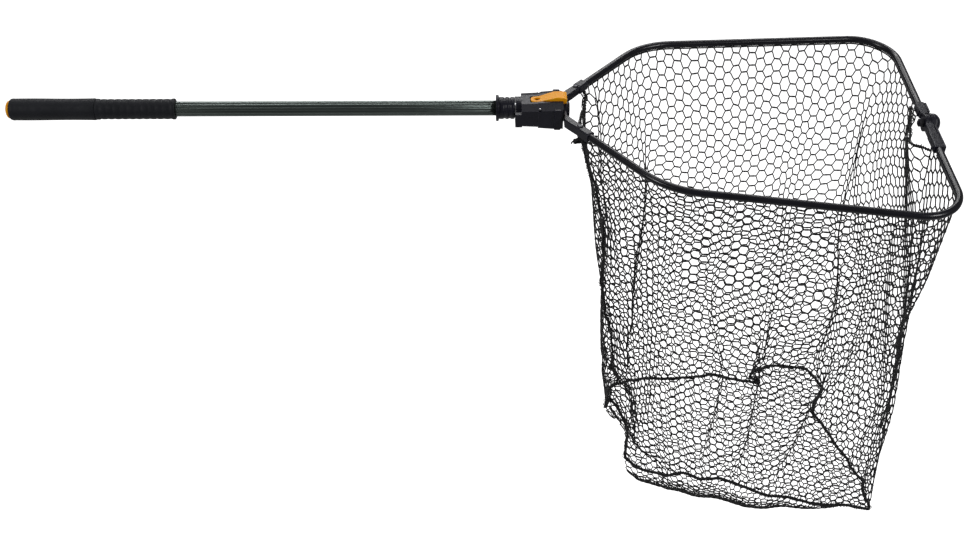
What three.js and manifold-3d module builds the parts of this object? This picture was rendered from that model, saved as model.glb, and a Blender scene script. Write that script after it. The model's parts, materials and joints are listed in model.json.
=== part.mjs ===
// Folding landing net with a telescopic handle, in millimetres, +Z up.
//
// The handle runs along +X to the head, the hoop reaches on forward along +X and the bag hangs
// towards -Z. The hoop lies in a plane that droops a little from the handle's axis. Each half of
// the hoop swings down about one long fold axis, which runs just below the frame tubes from the
// head to the front hinge.
//
// Shapes are drawn with x counted from the head's front face. The finished net is then moved so
// that the origin is the middle of the butt cap's flat end, on the handle's axis.

import * as THREE from 'three';
import { mergeVertices } from 'three/addons/utils/BufferGeometryUtils.js';
import Module from 'manifold-3d';

const wasm = await Module();
wasm.setup();

// ---------------------------------------------------------------- driving dimensions

const gap = 0.3;

const handle = {
  tubeRadius: 12,
  tubeWall: 1.5,
  flutes: 12,
  fluteDepth: 0.55,
  tubeRear: -878,
  tubeFront: -106,
  gripBore: 12.4,
  gripRear: -883,
  gripJoint: -747,
  gripFront: -621,
  buttGripRadius: 17.5,
  ribbedGripRadius: 15.8,
  ribCount: 10,
  ribDepth: 1.3,
  capRadius: 14.4,
  capRear: -890,
};

const lock = {
  flangeRadius: 21,
  flangeRear: -110.5,
  flangeFront: -106,
  ringRadius: 17.75,
  ringFront: -80.6,
  bore: 14.3,
  colletRadius: 13.9,
  colletRear: -110.2,
  colletFront: -82,
  slots: 4,
};

const inner = {
  radius: 8.5,
  wall: 1.2,
  rear: -598,
  front: -58,
};

const hub = {
  rear: -70,
  saddleRear: -80,
  step: -44,
  front: -4,
  rearHalfWidth: 27,
  frontHalfWidth: 29.6,
  boreRadius: 8.9,
  boreFront: -57,
  neckRadius: 16,
  nutRear: -33,
  nutFront: -24,
  rivetX: -70,
};

const latch = {
  pivotX: -41,
  pivotZ: 12,
  pinRadius: 2.2,
  springX: -52.6,
  springFloor: 0.5,
  rearX: -55,
  lipFront: 2,
  rearHalfWidth: 8,
  frontHalfWidth: 10.6,
  top: 25.2,
};

const hoop = {
  droop: THREE.MathUtils.degToRad(2.46),
  drop: 3,
  foldDrop: 3,
  foldLimit: THREE.MathUtils.degToRad(80),
  tubeRadius: 6,
  tubeWall: 1.2,
  rootX: -4,
  rootY: 29,
  sideX: 143,
  sideY: 209,
  sideBend: 125,
  cornerX: 586,
  cornerY: 264,
  cornerBend: 68,
};

const arm = {
  width: 13.5,
  bottom: -8,
  top: 7.2,
  length: 63,
  socketDepth: 16,
  knuckleRadius: 16.5,
  knuckleClear: 17.4,
  rear: -2.4,
  screwAt: 38,
};

const hinge = {
  knuckleRadius: 14,
  knuckleClear: 17.3,
  innerX: 579,
  outerX: 592.6,
  socketDepth: 18,
  capRadius: 16,
  capFront: 609,
};

const boltRadius = 4;

const bag = {
  wall: 2.4,
  hemDrop: 17,
  bottomDepth: 690,
  frontExtraDepth: 72,
  sag: 42,
  seamRadius: 3,
};

// ---------------------------------------------------------------- materials

function paint(color, roughness, metalness = 0) {
  return new THREE.MeshStandardMaterial({ color, roughness, metalness });
}

const looks = {
  housing: () => paint(0x24232d, 0.45),
  arm: () => paint(0x26252f, 0.42),
  grip: () => paint(0x16171c, 0.75),
  orange: () => paint(0xf0960f, 0.35),
  anodised: () => paint(0x2c3634, 0.32, 0.8),
  frame: () => paint(0x131318, 0.38, 0.3),
  inner: () => paint(0x8d9094, 0.35, 0.9),
  steel: () => paint(0x9a9ca0, 0.3, 0.95),
  darkSteel: () => paint(0x3b3c40, 0.35, 0.9),
  nylon: () => paint(0x4a4b4f, 0.55),
  cord: () => paint(0x0c0c0e, 0.85),
  net: () => paint(0x17171a, 0.8),
};

// ---------------------------------------------------------------- solids

// Merges shared vertices, drops slivers at poles and turns the faces outward.
function asSolid(geometry) {
  const bare = geometry.clone();
  bare.deleteAttribute('normal');
  bare.deleteAttribute('uv');
  const merged = mergeVertices(bare, 1e-4);
  const position = merged.getAttribute('position');
  const index = merged.getIndex();
  const faces = [];
  let volume = 0;
  const a = new THREE.Vector3();
  const b = new THREE.Vector3();
  const c = new THREE.Vector3();
  for (let i = 0; i < index.count; i += 3) {
    const [p, q, r] = [index.getX(i), index.getX(i + 1), index.getX(i + 2)];
    if (p === q || q === r || r === p) {
      continue;
    }
    a.fromBufferAttribute(position, p);
    b.fromBufferAttribute(position, q);
    c.fromBufferAttribute(position, r);
    volume += a.dot(b.cross(c)) / 6;
    faces.push([p, q, r]);
  }
  const order = volume < 0 ? faces.map(([p, q, r]) => [p, r, q]) : faces;
  merged.setIndex(order.flat());
  return merged;
}

function toManifold(geometry) {
  const solid = asSolid(geometry);
  const mesh = new wasm.Mesh({
    numProp: 3,
    vertProperties: new Float32Array(solid.getAttribute('position').array),
    triVerts: new Uint32Array(solid.getIndex().array),
  });
  return new wasm.Manifold(mesh);
}

function fromManifold(manifold) {
  const mesh = manifold.getMesh();
  const geometry = new THREE.BufferGeometry();
  geometry.setAttribute('position', new THREE.BufferAttribute(mesh.vertProperties, 3));
  geometry.setIndex(new THREE.BufferAttribute(mesh.triVerts, 1));
  geometry.computeVertexNormals();
  return geometry;
}

function join(...geometries) {
  const solids = geometries.map(toManifold);
  return fromManifold(solids.reduce((whole, next) => whole.add(next)));
}

function cut(geometry, ...tools) {
  const solids = tools.map(toManifold);
  return fromManifold(solids.reduce((whole, tool) => whole.subtract(tool), toManifold(geometry)));
}

function box(x0, x1, y0, y1, z0, z1) {
  const geometry = new THREE.BoxGeometry(x1 - x0, y1 - y0, z1 - z0);
  return geometry.translate((x0 + x1) / 2, (y0 + y1) / 2, (z0 + z1) / 2);
}

function rodX(x0, x1, radius, y = 0, z = 0, segments = 24) {
  const geometry = new THREE.CylinderGeometry(radius, radius, x1 - x0, segments);
  return geometry.rotateZ(-Math.PI / 2).translate((x0 + x1) / 2, y, z);
}

function rodY(y0, y1, radius, x = 0, z = 0, segments = 20) {
  const geometry = new THREE.CylinderGeometry(radius, radius, y1 - y0, segments);
  return geometry.translate(x, (y0 + y1) / 2, z);
}

function rodZ(z0, z1, radius, x = 0, y = 0, segments = 20) {
  const geometry = new THREE.CylinderGeometry(radius, radius, z1 - z0, segments);
  return geometry.rotateX(Math.PI / 2).translate(x, y, (z0 + z1) / 2);
}

// Turns a profile of [x, radius] pairs about the X axis.
function turned(profile, segments = 28, closed = false) {
  const points = profile.map(([x, radius]) => new THREE.Vector2(radius, x));
  if (closed) {
    points.push(points[0].clone());
  }
  return new THREE.LatheGeometry(points, segments).rotateZ(-Math.PI / 2);
}

// A prism with an outline in plan, standing between two heights.
function prism(outline, z0, z1, bevel = 0) {
  const shape = new THREE.Shape(outline.map(([x, y]) => new THREE.Vector2(x, y)));
  const geometry = new THREE.ExtrudeGeometry(shape, {
    depth: z1 - z0 - 2 * bevel,
    bevelEnabled: bevel > 0,
    bevelThickness: bevel,
    bevelSize: bevel,
    bevelOffset: -bevel,
    bevelSegments: 1,
  });
  return geometry.translate(0, 0, z0 + bevel);
}

// Skins a row of closed rings, all with the same number of points, and closes both ends.
function loft(rings) {
  const count = rings[0].length;
  const vertices = rings.flat().map((p) => p.toArray()).flat();
  const faces = [];
  for (let ring = 0; ring < rings.length - 1; ring += 1) {
    for (let k = 0; k < count; k += 1) {
      const next = (k + 1) % count;
      const a = ring * count + k;
      const b = ring * count + next;
      const c = (ring + 1) * count + next;
      const d = (ring + 1) * count + k;
      faces.push(a, b, c, a, c, d);
    }
  }
  const last = (rings.length - 1) * count;
  for (let k = 1; k < count - 1; k += 1) {
    faces.push(0, k + 1, k);
    faces.push(last, last + k, last + k + 1);
  }
  const geometry = new THREE.BufferGeometry();
  geometry.setAttribute('position', new THREE.Float32BufferAttribute(vertices, 3));
  geometry.setIndex(faces);
  return geometry;
}

// A polyline through bends, with its rings square to the way it runs.
class BentPath extends THREE.Curve {
  constructor(points) {
    super();
    this.points = points;
  }

  getPoint(t) {
    const place = Math.min(t * (this.points.length - 1), this.points.length - 1 - 1e-9);
    const i = Math.floor(place);
    return this.points[i].clone().lerp(this.points[i + 1], place - i);
  }

  getPointAt(u) {
    return this.getPoint(u);
  }

  getTangent(t) {
    const last = this.points.length - 1;
    const i = Math.round(t * last);
    const tangent = new THREE.Vector3();
    if (i > 0) {
      tangent.add(this.points[i].clone().sub(this.points[i - 1]).normalize());
    }
    if (i < last) {
      tangent.add(this.points[i + 1].clone().sub(this.points[i]).normalize());
    }
    return tangent.normalize();
  }

  getTangentAt(u) {
    return this.getTangent(u);
  }
}

function pipe(points, radius, segments = 14, wall = 0) {
  const shape = new THREE.Shape();
  shape.absarc(0, 0, radius, 0, 2 * Math.PI, false);
  if (wall > 0) {
    const hole = new THREE.Path();
    hole.absarc(0, 0, radius - wall, 0, 2 * Math.PI, true);
    shape.holes.push(hole);
  }
  return new THREE.ExtrudeGeometry(shape, {
    steps: points.length - 1,
    curveSegments: segments,
    bevelEnabled: false,
    extrudePath: new BentPath(points),
  });
}

// Rounds the inner corners of a polyline; each corner is [point, bend radius].
function rounded(corners, arcSteps = 5) {
  const points = [corners[0][0].clone()];
  for (let i = 1; i < corners.length - 1; i += 1) {
    const [corner, radius] = corners[i];
    const back = corners[i - 1][0].clone().sub(corner).normalize();
    const ahead = corners[i + 1][0].clone().sub(corner).normalize();
    const half = back.angleTo(ahead) / 2;
    const reach = radius / Math.tan(half);
    const centre = back.clone().add(ahead).normalize();
    centre.multiplyScalar(radius / Math.sin(half)).add(corner);
    const start = corner.clone().addScaledVector(back, reach).sub(centre);
    const end = corner.clone().addScaledVector(ahead, reach).sub(centre);
    const sweep = start.angleTo(end);
    for (let k = 0; k <= arcSteps; k += 1) {
      const t = k / arcSteps;
      const a = Math.sin((1 - t) * sweep) / Math.sin(sweep);
      const b = Math.sin(t * sweep) / Math.sin(sweep);
      const point = start.clone().multiplyScalar(a).addScaledVector(end, b);
      points.push(point.add(centre));
    }
  }
  points.push(corners[corners.length - 1][0].clone());
  return points;
}

// ---------------------------------------------------------------- assembly

const landingNet = new THREE.Group();
const hoopFrame = new THREE.Group();
hoopFrame.rotation.y = hoop.droop;
hoopFrame.position.z = -hoop.drop;
landingNet.position.x = -handle.capRear;
landingNet.add(hoopFrame);

function piece(name, geometry, material, group = landingNet) {
  const solid = asSolid(geometry);
  solid.computeVertexNormals();
  const mesh = new THREE.Mesh(solid, material());
  mesh.name = name;
  group.add(mesh);
  return mesh;
}

// The far side is +Y and the near side is -Y; both halves are drawn for +Y and then mirrored.
const sides = [
  { name: 'near', sign: -1 },
  { name: 'far', sign: 1 },
];

function mirrored(geometry, sign) {
  return sign > 0 ? geometry : asSolid(geometry.clone().scale(1, -1, 1));
}

// ---------------------------------------------------------------- handle

function flutedOutline(radius, depth, flutes) {
  const points = [];
  const perFlute = 4;
  const total = flutes * perFlute;
  for (let k = 0; k < total; k += 1) {
    const angle = (2 * Math.PI * k) / total;
    const inFlute = k % perFlute === 2;
    const r = inFlute ? radius - depth : radius;
    points.push(new THREE.Vector2(r * Math.cos(angle), r * Math.sin(angle)));
  }
  return points;
}

function flutedTube() {
  const shape = new THREE.Shape(flutedOutline(handle.tubeRadius, handle.fluteDepth, handle.flutes));
  const hole = new THREE.Path();
  hole.absarc(0, 0, handle.tubeRadius - handle.tubeWall, 0, 2 * Math.PI, true);
  shape.holes.push(hole);
  const tube = new THREE.ExtrudeGeometry(shape, {
    depth: handle.tubeFront - handle.tubeRear,
    steps: 1,
    curveSegments: 32,
    bevelEnabled: false,
  });
  return tube.rotateY(Math.PI / 2).translate(handle.tubeRear, 0, 0);
}

piece('outer_tube', flutedTube(), looks.anodised);

function buttGrip() {
  const r = handle.buttGripRadius;
  const profile = [
    [handle.gripRear, handle.gripBore],
    [handle.gripRear, r - 3.6],
    [handle.gripRear + 1.2, r - 1.6],
    [handle.gripRear + 4, r - 0.4],
    [handle.gripRear + 9, r],
    [handle.gripJoint - 5, r],
    [handle.gripJoint - 2, r - 0.7],
    [handle.gripJoint - gap, r - 2],
    [handle.gripJoint - gap, handle.gripBore],
  ];
  return turned(profile, 24, true);
}

function ribbedGrip() {
  const r = handle.ribbedGripRadius;
  const plainStart = handle.gripJoint + 6;
  const plainEnd = handle.gripFront - 8;
  const pitch = (plainEnd - plainStart) / handle.ribCount;
  const profile = [
    [handle.gripJoint, handle.gripBore],
    [handle.gripJoint, r - 1],
    [handle.gripJoint + 1.5, r],
  ];
  for (let rib = 0; rib < handle.ribCount; rib += 1) {
    const x = plainStart + rib * pitch;
    profile.push([x, r]);
    profile.push([x + 0.16 * pitch, r - handle.ribDepth]);
    profile.push([x + 0.42 * pitch, r - handle.ribDepth]);
    profile.push([x + 0.58 * pitch, r]);
  }
  profile.push([plainEnd, r]);
  profile.push([handle.gripFront - 4, r + 0.9]);
  profile.push([handle.gripFront - 1, r + 0.9]);
  profile.push([handle.gripFront, r - 0.4]);
  profile.push([handle.gripFront, handle.gripBore]);
  return turned(profile, 18, true);
}

piece('butt_grip', buttGrip(), looks.grip);
piece('ribbed_grip', ribbedGrip(), looks.grip);

// The cap's dome covers the open end of the tube, and its spigot holds inside it.
function buttCap() {
  const base = handle.gripRear - gap;
  const spigot = handle.tubeRadius - handle.tubeWall - gap;
  const profile = [[handle.capRear, 0]];
  const steps = 5;
  for (let k = 0; k <= steps; k += 1) {
    const angle = 0.4 + (k / steps) * (Math.PI / 2 - 0.4);
    const x = base - 1.2 - ((base - 1.2 - handle.capRear) * Math.cos(angle)) / Math.cos(0.4);
    profile.push([x, handle.capRadius * Math.sin(angle)]);
  }
  profile.push([base, handle.capRadius - 0.5]);
  profile.push([base, spigot]);
  profile.push([base + 24, spigot]);
  profile.push([base + 26, spigot - 1.5]);
  profile.push([base + 26, 0]);
  return turned(profile, 20);
}

piece('butt_cap', buttCap(), looks.orange);

// ---------------------------------------------------------------- twist lock

// The collet is sleeved over the tube's front end, and its slotted fingers grip the inner tube.
function collet() {
  const grip = inner.radius + gap;
  const profile = [
    [lock.colletRear, handle.tubeRadius + gap],
    [lock.colletRear, lock.colletRadius - 1],
    [lock.colletRear + 1.5, lock.colletRadius],
    [-92, lock.colletRadius],
    [lock.colletFront, lock.colletRadius - 3],
    [lock.colletFront, grip],
    [handle.tubeFront + gap, grip],
    [handle.tubeFront + gap, handle.tubeRadius + gap],
  ];
  const body = turned(profile, 24, true);
  const slots = [];
  for (let k = 0; k < lock.slots; k += 1) {
    const slot = box(-101, lock.colletFront + 1, 4, lock.colletRadius + 2, -0.9, 0.9);
    slots.push(slot.rotateX((2 * Math.PI * (k + 0.5)) / lock.slots));
  }
  return cut(body, ...slots);
}

function lockCollar() {
  const r = lock.ringRadius;
  const profile = [
    [lock.flangeRear, lock.bore],
    [lock.flangeRear, lock.flangeRadius - 0.8],
    [lock.flangeRear + 0.8, lock.flangeRadius],
    [lock.flangeFront - 0.8, lock.flangeRadius],
    [lock.flangeFront, lock.flangeRadius - 0.8],
    [lock.flangeFront + 0.6, r - 0.6],
    [lock.flangeFront + 2.2, r],
    [-99, r],
    [-97.5, r - 1.1],
    [-95.5, r - 1.1],
    [-94, r],
    [-91, r],
    [-89.5, r - 1.1],
    [-87.5, r - 1.1],
    [-86, r],
    [lock.ringFront - 1.5, r],
    [lock.ringFront, r - 1.5],
    [lock.ringFront, lock.bore],
  ];
  return turned(profile, 26, true);
}

piece('collet', collet(), looks.nylon);
piece('lock_collar', lockCollar(), looks.housing);

// ---------------------------------------------------------------- inner tube

function innerTube() {
  const profile = [
    [inner.rear, inner.radius - inner.wall],
    [inner.rear, inner.radius],
    [inner.front, inner.radius],
    [inner.front, inner.radius - inner.wall],
  ];
  return turned(profile, 28, true);
}

function innerTubePlug() {
  const slide = handle.tubeRadius - handle.tubeWall - gap;
  const spigot = inner.radius - inner.wall - gap;
  const profile = [
    [inner.rear - 14, 0],
    [inner.rear - 14, slide - 1],
    [inner.rear - 13, slide],
    [inner.rear - gap, slide],
    [inner.rear - gap, spigot],
    [inner.rear + 12, spigot],
    [inner.rear + 12, 0],
  ];
  return turned(profile, 24);
}

const rivetHole = rodZ(-60, 12.4, 2.3, hub.rivetX, 0, 14);

piece('inner_tube', cut(innerTube(), rivetHole), looks.inner);
piece('inner_tube_plug', innerTubePlug(), looks.nylon);
piece('tube_rivet', rodZ(-17, 12, 2, hub.rivetX, 0, 14), looks.steel);

// ---------------------------------------------------------------- head

// One section of the housing, across the handle: straight sides under a crowned top.
function hubSection(x, halfWidth, bottom, shoulder, crown, crownHalfWidth) {
  const c = 3;
  const outline = [
    [-halfWidth, bottom + c],
    [-halfWidth, shoulder],
    [-crownHalfWidth, crown],
    [crownHalfWidth, crown],
    [halfWidth, shoulder],
    [halfWidth, bottom + c],
    [halfWidth - c, bottom],
    [-halfWidth + c, bottom],
  ];
  return outline.map(([y, z]) => new THREE.Vector3(x, y, z));
}

// The lever's outline in plan, from its front corner round the thumb loop to the other corner.
function latchOutline(frontX, grow = 0) {
  const rear = latch.rearX - grow;
  const narrow = latch.rearHalfWidth + grow;
  const wide = latch.frontHalfWidth + grow;
  const oneSide = [
    [frontX, wide],
    [-20, wide - 0.4],
    [-36, narrow + 0.4],
    [-43, narrow],
    [rear + 3.5, narrow - 1],
    [rear, narrow - 4.5],
  ];
  return [...oneSide, ...oneSide.toReversed().map(([x, y]) => [x, -y])];
}

function foldBoltHole(x0, x1, radius) {
  const hole = rodX(x0, x1, radius, 0, -hoop.foldDrop, 20);
  return hole.rotateY(hoop.droop).translate(0, 0, -hoop.drop);
}

function hubBody() {
  const rear = loft([
    hubSection(hub.rear, hub.rearHalfWidth, -19.3, 10.4, 15.5, 13),
    hubSection(hub.step + 1, hub.rearHalfWidth + 0.8, -20, 11.4, 16.6, 13.5),
  ]);
  const front = loft([
    hubSection(hub.step, 28.4, -21.6, 12, 17.4, 13.5),
    hubSection(-20, hub.frontHalfWidth, -22.6, 13.6, 19.4, 14.4),
    hubSection(hub.front, hub.frontHalfWidth, -22.6, 13.6, 19.4, 14.4),
  ]);
  const half = hub.rearHalfWidth;
  const saddle = box(hub.saddleRear, hub.rear + 1, -half, half, -19.3, 4.5);
  const neck = rodX(hub.saddleRear + 1.5, hub.rear + 2, hub.neckRadius, 0, 0, 28);
  const bosses = sides.map(({ sign }) => {
    const rib = prism([[-19, 28], [-18, 32], [-8.6, 32], [-7.6, 28]], -21.6, 15.2, 0.8);
    return mirrored(rib, sign);
  });
  const body = join(rear, front, saddle, neck, ...bosses);

  const eyeHalf = latch.rearHalfWidth + 0.6;
  const tubeBore = rodX(hub.saddleRear - 5, hub.boreFront, hub.boreRadius, 0, 0, 28);
  const latchBed = prism(latchOutline(10, 0.6), 13.4, 40);
  const thumbBed = box(latch.rearX - 1.3, latch.pivotX + 4.8, -eyeHalf, eyeHalf, 9.2, 40);
  const eyeBed = rodY(-eyeHalf, eyeHalf, 5.2, latch.pivotX, latch.pivotZ, 18);
  const pinHole = rodY(-40, 40, latch.pinRadius + gap, latch.pivotX, latch.pivotZ, 16);
  const springPocket = rodZ(latch.springFloor, 20, 2.9, latch.springX, 0, 16);
  const nutSlot = box(hub.nutRear, hub.nutFront, -8, 8, -40, 4);
  const boltHole = foldBoltHole(hub.nutFront - 4, 30, boltRadius + gap);
  const chamfers = sides.map(({ sign }) => {
    const wedge = prism([[-8, 34], [-3, 34], [-3, 25]], -40, 40);
    return mirrored(wedge, sign);
  });
  return cut(
    body,
    tubeBore,
    latchBed,
    thumbBed,
    eyeBed,
    pinHole,
    springPocket,
    rivetHole,
    nutSlot,
    boltHole,
    ...chamfers,
  );
}

piece('hub_body', hubBody(), looks.housing);

// ---------------------------------------------------------------- release latch

// Everything above a line of [x, z] heights.
function spaceAbove(heights) {
  const corners = [[-40, 0], [40, 0], [40, 30], [-40, 30]];
  return loft(heights.map(([x, z]) => corners.map(([y, up]) => new THREE.Vector3(x, y, z + up))));
}

// The lever: an open thumb loop round the pivot pin, and a body that widens and rises forward
// and ends in a lip over the knuckles in front of the head.
function releaseLatch() {
  const under = 13.8;
  const slab = prism(latchOutline(latch.lipFront), under, latch.top, 1);
  const above = spaceAbove([[-60, 16.4], [-42, 17], [-30, 21], [-14, latch.top + 0.1], [-3, latch.top - 0.6], [8, 20]]);
  const y = latch.rearHalfWidth;
  const eye = rodY(-y, y, 4.4, latch.pivotX, latch.pivotZ, 18);
  const middle = box(latch.pivotX - 6, latch.pivotX + 6, -4.2, 4.2, 0, 20);
  const loop = rodZ(-5, 40, 3.9, 0, 0, 20).scale(1.3, 1, 1).translate(latch.pivotX - 3.6, 0, 0);
  const pinHole = rodY(-30, 30, latch.pinRadius + gap, latch.pivotX, latch.pivotZ, 16);
  const body = join(cut(slab, above), cut(eye, middle));
  return cut(body, loop, pinHole);
}

function latchSpring() {
  const turns = 4.5;
  const perTurn = 8;
  const coilRadius = 2;
  const wire = 0.45;
  const low = latch.springFloor + wire + 0.05;
  const high = 13.8 - wire - 0.05;
  const points = [];
  for (let k = 0; k <= turns * perTurn; k += 1) {
    const angle = (2 * Math.PI * k) / perTurn;
    const z = low + ((high - low) * k) / (turns * perTurn);
    const x = latch.springX + coilRadius * Math.cos(angle);
    points.push(new THREE.Vector3(x, coilRadius * Math.sin(angle), z));
  }
  return pipe(points, wire, 3);
}

piece('release_latch', releaseLatch(), looks.orange);
const pinHalf = 24.4;
piece('latch_pin', rodY(-pinHalf, pinHalf, latch.pinRadius, latch.pivotX, latch.pivotZ, 16), looks.steel);
piece('latch_spring', latchSpring(), looks.steel);

// ---------------------------------------------------------------- fold bolt

// The knuckles stack along the fold axis, in front of the head: near, far, then the bolt's cap.
const armSlots = {
  near: [arm.rear, 0.5],
  far: [0.8, 3.7],
};

function foldBolt() {
  const profile = [
    [hub.nutFront - 3, 0],
    [hub.nutFront - 3, boltRadius],
    [4, boltRadius],
    [4, 15.6],
    [4.6, 16.2],
    [5.6, 16.2],
    [6.6, 14.4],
    [7, 9],
    [7, 0],
  ];
  return turned(profile, 22).translate(0, 0, -hoop.foldDrop);
}

function hexNut(x0, x1, radius) {
  const nut = rodX(x0, x1, radius, 0, -hoop.foldDrop, 6);
  return cut(nut, rodX(x0 - 5, x1 + 5, boltRadius + gap, 0, -hoop.foldDrop, 20));
}

piece('fold_bolt', foldBolt(), looks.arm, hoopFrame);
piece('fold_nut', hexNut(hub.nutRear + 2, hub.nutFront - 1.2, 6.8), looks.steel, hoopFrame);

// ---------------------------------------------------------------- arms

const armDirection = new THREE.Vector2(hoop.sideX - hoop.rootX, hoop.sideY - hoop.rootY).normalize();

// Places a shape drawn along +X from the arm's root onto the far arm's line.
function alongArm(geometry) {
  return geometry.rotateZ(armDirection.angle()).translate(hoop.rootX, hoop.rootY, 0);
}

function alongArmPoint(distance, z = 0) {
  return new THREE.Vector3(
    hoop.rootX + distance * armDirection.x,
    hoop.rootY + distance * armDirection.y,
    z,
  );
}

// The space each half gives up so that the two can swing together below the fold axis.
function foldWedge(x0, x1) {
  const reach = 60;
  const fall = reach / Math.tan(hoop.foldLimit + THREE.MathUtils.degToRad(0.6));
  const z = -hoop.foldDrop;
  const outline = [[-20, z], [0, z], [reach, z - fall], [reach, -70], [-20, -70]];
  return loft([x0, x1].map((x) => outline.map(([y, up]) => new THREE.Vector3(x, y, up))));
}

// A knuckle on the fold axis with a web reaching out to the beam.
function foldKnuckle(slot, radius, reach, bottom, top) {
  const ring = rodX(slot[0], slot[1], radius, 0, -hoop.foldDrop, 32);
  const web = box(slot[0], slot[1], 0, reach, bottom, top);
  return join(ring, cut(web, foldWedge(slot[0] - 1, slot[1] + 1)));
}

function armBody(slot) {
  const w = arm.width / 2;
  const beamPlan = [
    [-24, -w], [20, -w], [44, -w + 0.8], [55, -w + 0.8],
    [55, w - 0.8], [44, w - 0.8], [20, w], [-24, w],
  ];
  const beam = alongArm(prism(beamPlan, arm.bottom, arm.top, 1.6));
  const socket = alongArm(
    prism([[42, -7.4], [arm.length, -7.4], [arm.length, 7.4], [42, 7.4]], -8.2, 7.8, 2),
  );
  const trimRear = box(-80, arm.rear, -10, 80, -40, 40);
  const trimCentre = box(-40, 40, -60, 12, -40, 40);
  const clearNear = rodX(-20, slot[0], arm.knuckleClear, 0, -hoop.foldDrop, 32);
  const clearFar = rodX(slot[1], 30, arm.knuckleClear, 0, -hoop.foldDrop, 32);
  const spaces = [trimRear, trimCentre, clearNear, clearFar, foldWedge(-60, 60)];
  const outer = cut(join(beam, socket), ...spaces);
  const knuckle = foldKnuckle(slot, arm.knuckleRadius, 33, arm.bottom, arm.top);
  const boltHole = rodX(-20, 20, boltRadius + gap, 0, -hoop.foldDrop, 20);
  const tubeStart = arm.length - arm.socketDepth;
  const tubeHole = alongArm(rodX(tubeStart, arm.length + 5, hoop.tubeRadius + gap, 0, 0, 20));
  const screwHole = alongArm(rodZ(-3, 30, 1.9, arm.screwAt, 0, 14));
  const screwSeat = alongArm(rodZ(arm.top - 1.2, 30, 5, arm.screwAt, 0, 18));
  return cut(join(outer, knuckle), boltHole, tubeHole, screwHole, screwSeat);
}

function screwProfile(seat, depth, headRadius, headHeight, shaftRadius) {
  return [
    [seat - depth, 0],
    [seat - depth, shaftRadius],
    [seat, shaftRadius],
    [seat, headRadius],
    [seat + 0.6 * headHeight, headRadius],
    [seat + headHeight, 0.6 * headRadius],
    [seat + headHeight, 0],
  ];
}

function armScrew() {
  const profile = screwProfile(arm.top - 1.2 + gap, 7, 4.6, 2.8, 1.6);
  return alongArm(turned(profile, 18).rotateY(-Math.PI / 2).translate(arm.screwAt, 0, 0));
}

for (const { name, sign } of sides) {
  piece(`${name}_arm`, mirrored(armBody(armSlots[name]), sign), looks.arm, hoopFrame);
  piece(`${name}_arm_screw`, mirrored(armScrew(), sign), looks.darkSteel, hoopFrame);
}

// ---------------------------------------------------------------- front hinge

const hingeSides = {
  near: { slot: [585.9, 589.6], end: 72, socketStart: 42 },
  far: { slot: [581.9, 585.6], end: 48, socketStart: 26 },
};

function hingeSocket({ slot, end, socketStart }) {
  const { innerX, outerX } = hinge;
  const bar = prism(
    [[innerX + 1.4, 8], [outerX - 0.6, 8], [outerX - 0.6, socketStart], [innerX + 1.4, socketStart]],
    arm.bottom,
    arm.top - 0.4,
    1,
  );
  const socket = prism(
    [[innerX, socketStart - 2], [outerX, socketStart - 2], [outerX, end], [innerX, end]],
    -7.6,
    arm.top,
    1.2,
  );
  const clearInner = rodX(560, slot[0], hinge.knuckleClear, 0, -hoop.foldDrop, 32);
  const clearOuter = rodX(slot[1], 620, hinge.knuckleClear, 0, -hoop.foldDrop, 32);
  const body = cut(join(bar, socket), clearInner, clearOuter, foldWedge(560, 620));
  const knuckle = foldKnuckle(slot, hinge.knuckleRadius, 20, arm.bottom, arm.top - 0.4);
  const boltHole = rodX(560, 620, boltRadius + gap, 0, -hoop.foldDrop, 20);
  const tubeHole = rodY(end - hinge.socketDepth, end + 5, hoop.tubeRadius + gap, hoop.cornerX, 0, 20);
  return cut(join(body, knuckle), boltHole, tubeHole);
}

function hingeCover(side, end) {
  const inner = hinge.outerX + 0.4;
  const outer = inner + 3.2;
  const plan = [[inner, 19], [outer, 20.5], [outer, end - 1], [inner, end]];
  const ribPlan = [[outer - 1, 24], [outer + 1, 24.6], [outer + 1, end - 5], [outer - 1, end - 4]];
  const pad = cut(prism(plan, -5.5, arm.top, 0.8), foldWedge(560, 620));
  const rib = prism(ribPlan, -1, 4.2, 0.6);
  if (side === 'far') {
    return join(pad, rib);
  }
  const band = prism(
    [[hinge.innerX - 1, end - 8], [outer, end - 8], [outer, end], [hinge.innerX - 1, end]],
    -7.4,
    arm.top,
    1.2,
  );
  const tubeHole = rodY(end - 20, end + 5, hoop.tubeRadius + gap, hoop.cornerX, 0, 20);
  return cut(join(pad, band, rib), tubeHole);
}

function hingeCap() {
  const r = hinge.capRadius;
  const base = 589.9;
  const profile = [
    [572.5, 0],
    [572.5, boltRadius],
    [base, boltRadius],
    [base, r - 1],
    [base + 0.8, r],
    [base + 4, r],
    [base + 4.6, r - 0.9],
    [base + 6, r - 0.9],
    [base + 6.6, r - 0.1],
    [base + 10, r - 0.6],
    [base + 13.6, r - 3],
    [base + 16.6, r - 6.5],
    [base + 18.4, r - 11],
    [hinge.capFront, 0],
  ];
  return turned(profile, 22).translate(0, 0, -hoop.foldDrop);
}

for (const { name, sign } of sides) {
  const side = hingeSides[name];
  const coverEnd = name === 'near' ? side.end + 8.4 : side.end - 2;
  piece(`${name}_hinge_socket`, mirrored(hingeSocket(side), sign), looks.arm, hoopFrame);
  piece(`${name}_hinge_cover`, mirrored(hingeCover(name, coverEnd), sign), looks.housing, hoopFrame);
}
piece('front_hinge_cap', hingeCap(), looks.housing, hoopFrame);
piece('front_hinge_nut', hexNut(574.4, 581.5, 7.2), looks.darkSteel, hoopFrame);

// ---------------------------------------------------------------- frame tubes

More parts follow.
